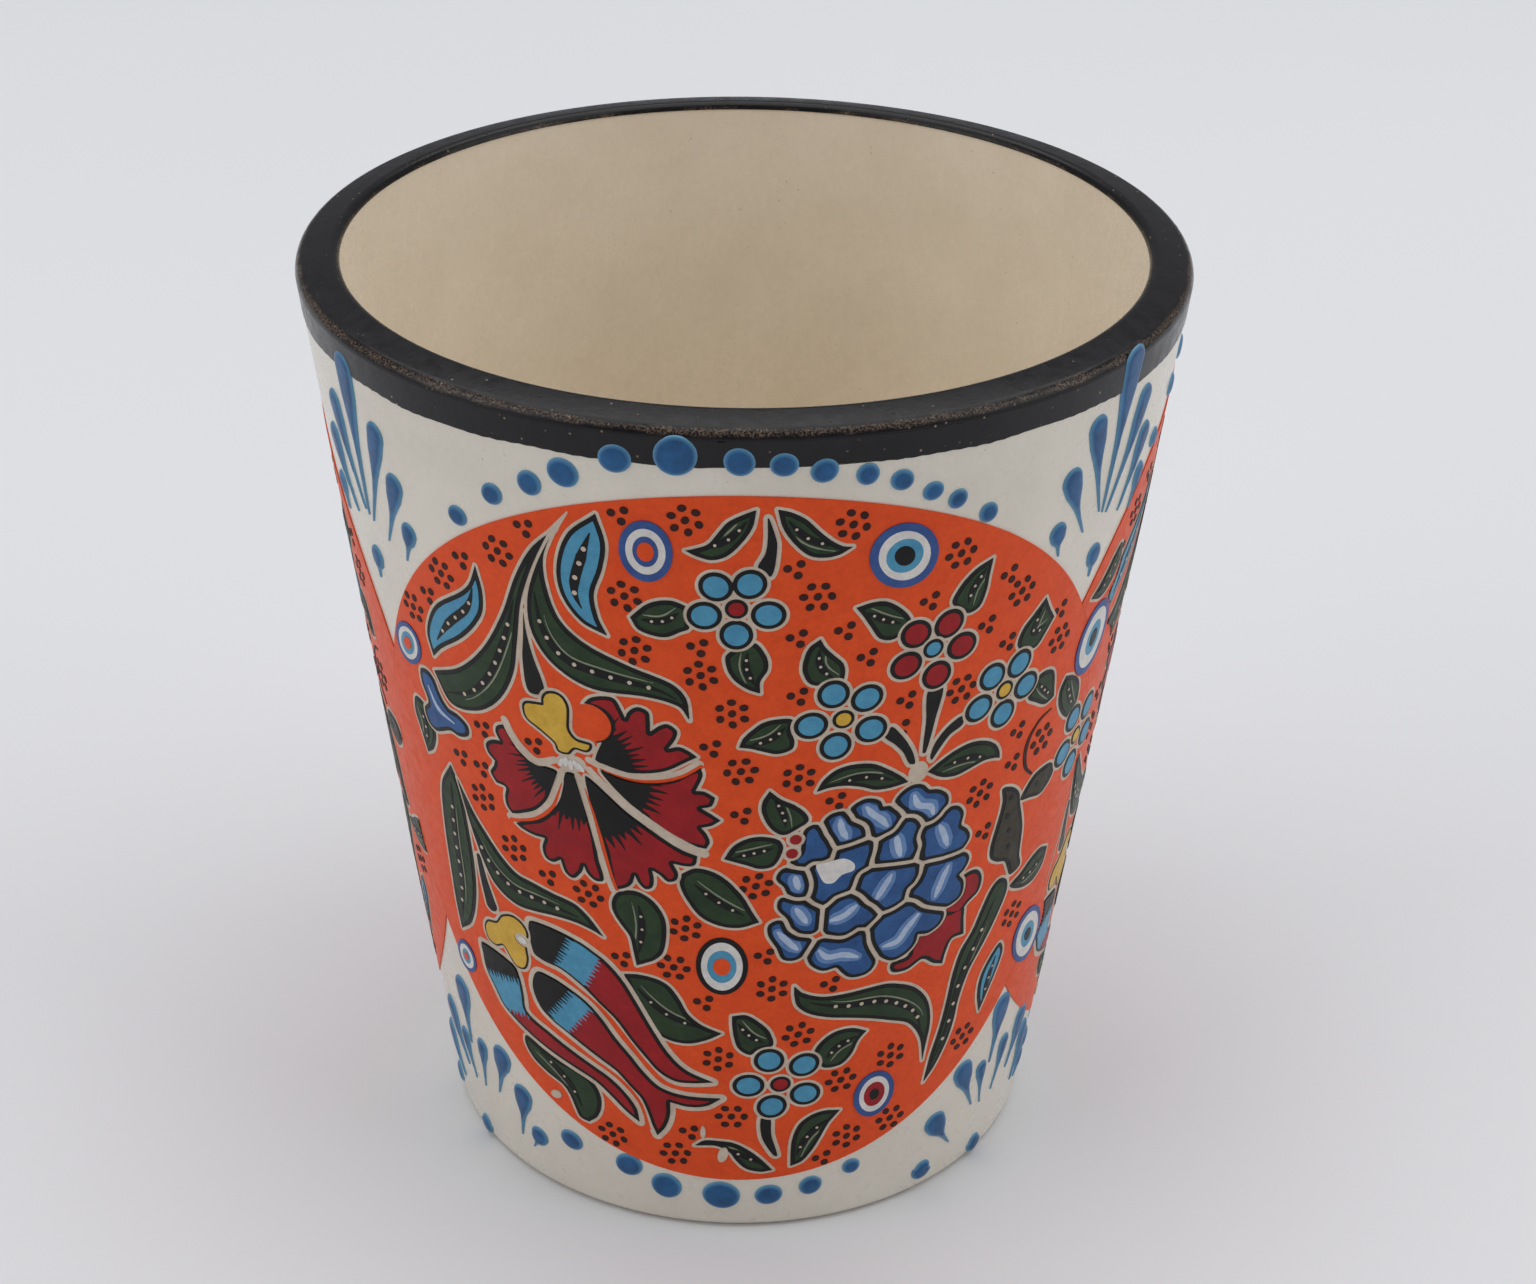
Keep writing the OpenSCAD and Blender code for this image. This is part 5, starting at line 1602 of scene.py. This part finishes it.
def cut_art(art, side, turn):
    """The art as a side medallion shows it, cut where the front medallion lies over it."""
    art_turn = ART_TURN[side]
    cut_r = MEDALLION_R + SEAM_CLEAR
    drawn = art.trimmed(from_front(art_turn), cut_r)
    if side == "right":
        for u, v, r in SEAM_COVERS:
            drawn = drawn.trimmed(from_front(art_turn, u, v), r)
        for u, v, r in SEAM_GAPS:
            drawn = drawn.trimmed((u, v), r)
    drawn.layers["ground"] = art.trimmed(from_front(turn), cut_r).layers["ground"]
    return drawn


def make_medallions():
    finishes = {ink: ink_material(*tones) for ink, tones in INK_TONES.items()}
    art = draw_medallion()
    # The front one comes last: the others are cut from the sheet before the seam's motifs go on it
    for side, turn in (("right", RIGHT_AZ), ("left", LEFT_AZ), ("front", 0.0)):
        if side == "front":
            draw_seam(art)
            drawn = art
        else:
            drawn = cut_art(art, side, turn)
        for layer, (lift, finish, slot, stands_for) in INKS.items():
            name = f"{layer}_print_{side}"
            place = turn if layer == "ground" else ART_TURN[side]
            nodes = [f"{node}_{side}" for node in stands_for]
            ink_piece(name, drawn, layer, lift, place, finishes[finish], nodes)


# Where each spray stands, and how much higher its upper half is than it is listed
SPRAYS = {"right": (RIGHT_SPRAY_AZ, 1.0), "left": (LEFT_SPRAY_AZ, -0.5), "back": (BACK_SPRAY_AZ, 0.0)}


def make_enamel():
    blue = enamel_material("blue_enamel", (18, 70, 116), (28, 94, 146), (104, 158, 190))
    for side, turn in (("front", 0.0), ("right", RIGHT_AZ), ("left", LEFT_AZ)):
        for place, row in (("upper", UPPER_DOTS), ("lower", LOWER_DOTS)):
            name = f"{place}_enamel_dots_{side}"
            enamel_piece(name, dots(row), turn, blue, [f"{place}_dots_{side}"])
    for side, (turn, lift) in SPRAYS.items():
        for place, spray, up in (("upper", UPPER_SPRAY, lift), ("lower", LOWER_SPRAY, 0.0)):
            name = f"{place}_enamel_spray_{side}"
            enamel_piece(name, drops(spray, up), turn, blue, [f"{place}_spray_{side}"])


# ---------------------------------------------------------------- floor, light and camera

FLOOR_HALF = 2.5  # half the side of the floor, in metres
FLOOR_DROP = 0.02 * MM  # keeps the floor off the foot ring's own plane


def make_stage():
    nodes = Nodes("studio_paper")
    cloud = nodes.noise(3, 2)
    tone = nodes.ramp(cloud, (0.3, linear(232, 233, 236)), (0.7, linear(236, 237, 240)))
    nodes.set(Base_Color=tone, Roughness=0.9)
    mesh = bpy.data.meshes.new("studio_floor")
    corners = [(-1, -1), (1, -1), (1, 1), (-1, 1)]
    points = [(x * FLOOR_HALF, y * FLOOR_HALF, -FLOOR_DROP) for x, y in corners]
    mesh.from_pydata(points, [], [(0, 1, 2, 3)])
    mesh.materials.append(nodes.material)
    floor = bpy.data.objects.new("studio_floor", mesh)
    bpy.context.collection.objects.link(floor)


LIT_SPOT = Vector((0, 0, 0.03))  # the middle of the cup, which every light faces


def area_light(name, place, size, watts):
    data = bpy.data.lights.new(name, "AREA")
    data.shape = "RECTANGLE"
    data.size = data.size_y = size
    data.energy = watts
    light = bpy.data.objects.new(name, data)
    light.location = place
    light.rotation_euler = (LIT_SPOT - Vector(place)).to_track_quat("-Z", "Y").to_euler()
    bpy.context.collection.objects.link(light)


def make_light():
    world = bpy.data.worlds.new("light_tent")
    world.use_nodes = True
    background = world.node_tree.nodes["Background"]
    background.inputs["Color"].default_value = (0.93, 0.95, 1.0, 1)
    background.inputs["Strength"].default_value = 0.22
    bpy.context.scene.world = world
    area_light("top_softbox", (0, 0.13, 0.7), 0.9, 3.85)
    area_light("left_softbox", (-0.6, -0.25, 0.35), 0.6, 1.35)
    area_light("right_softbox", (0.6, -0.15, 0.35), 0.6, 1.3)


CAMERA_PLACE = (0, -0.1689, 0.1245)
CAMERA_TURNS = (0.0096, 0.5049, 0.0127)  # to the right, down, and clockwise, in radians
CAMERA_LENS = 72.7


def make_camera():
    """The photograph's view: from the front, looking down by 29 degrees."""
    yaw, pitch, roll = CAMERA_TURNS
    ahead = Vector((math.sin(yaw) * math.cos(pitch), math.cos(yaw) * math.cos(pitch), -math.sin(pitch)))
    right = ahead.cross(Vector((0, 0, 1))).normalized()
    up = right.cross(ahead)
    turned_right = math.cos(roll) * right + math.sin(roll) * up
    turned_up = math.cos(roll) * up - math.sin(roll) * right
    camera = bpy.data.objects.new("camera", bpy.data.cameras.new("camera"))
    camera.data.lens = CAMERA_LENS
    camera.data.sensor_width = 36
    camera.data.clip_start = 0.01
    facing = Matrix((turned_right, turned_up, -ahead)).transposed().to_4x4()
    camera.matrix_world = Matrix.Translation(CAMERA_PLACE) @ facing
    bpy.context.collection.objects.link(camera)
    bpy.context.scene.camera = camera


bpy.context.scene.view_settings.view_transform = "Standard"
make_camera()
make_light()
make_stage()
make_body()
make_medallions()
make_enamel()
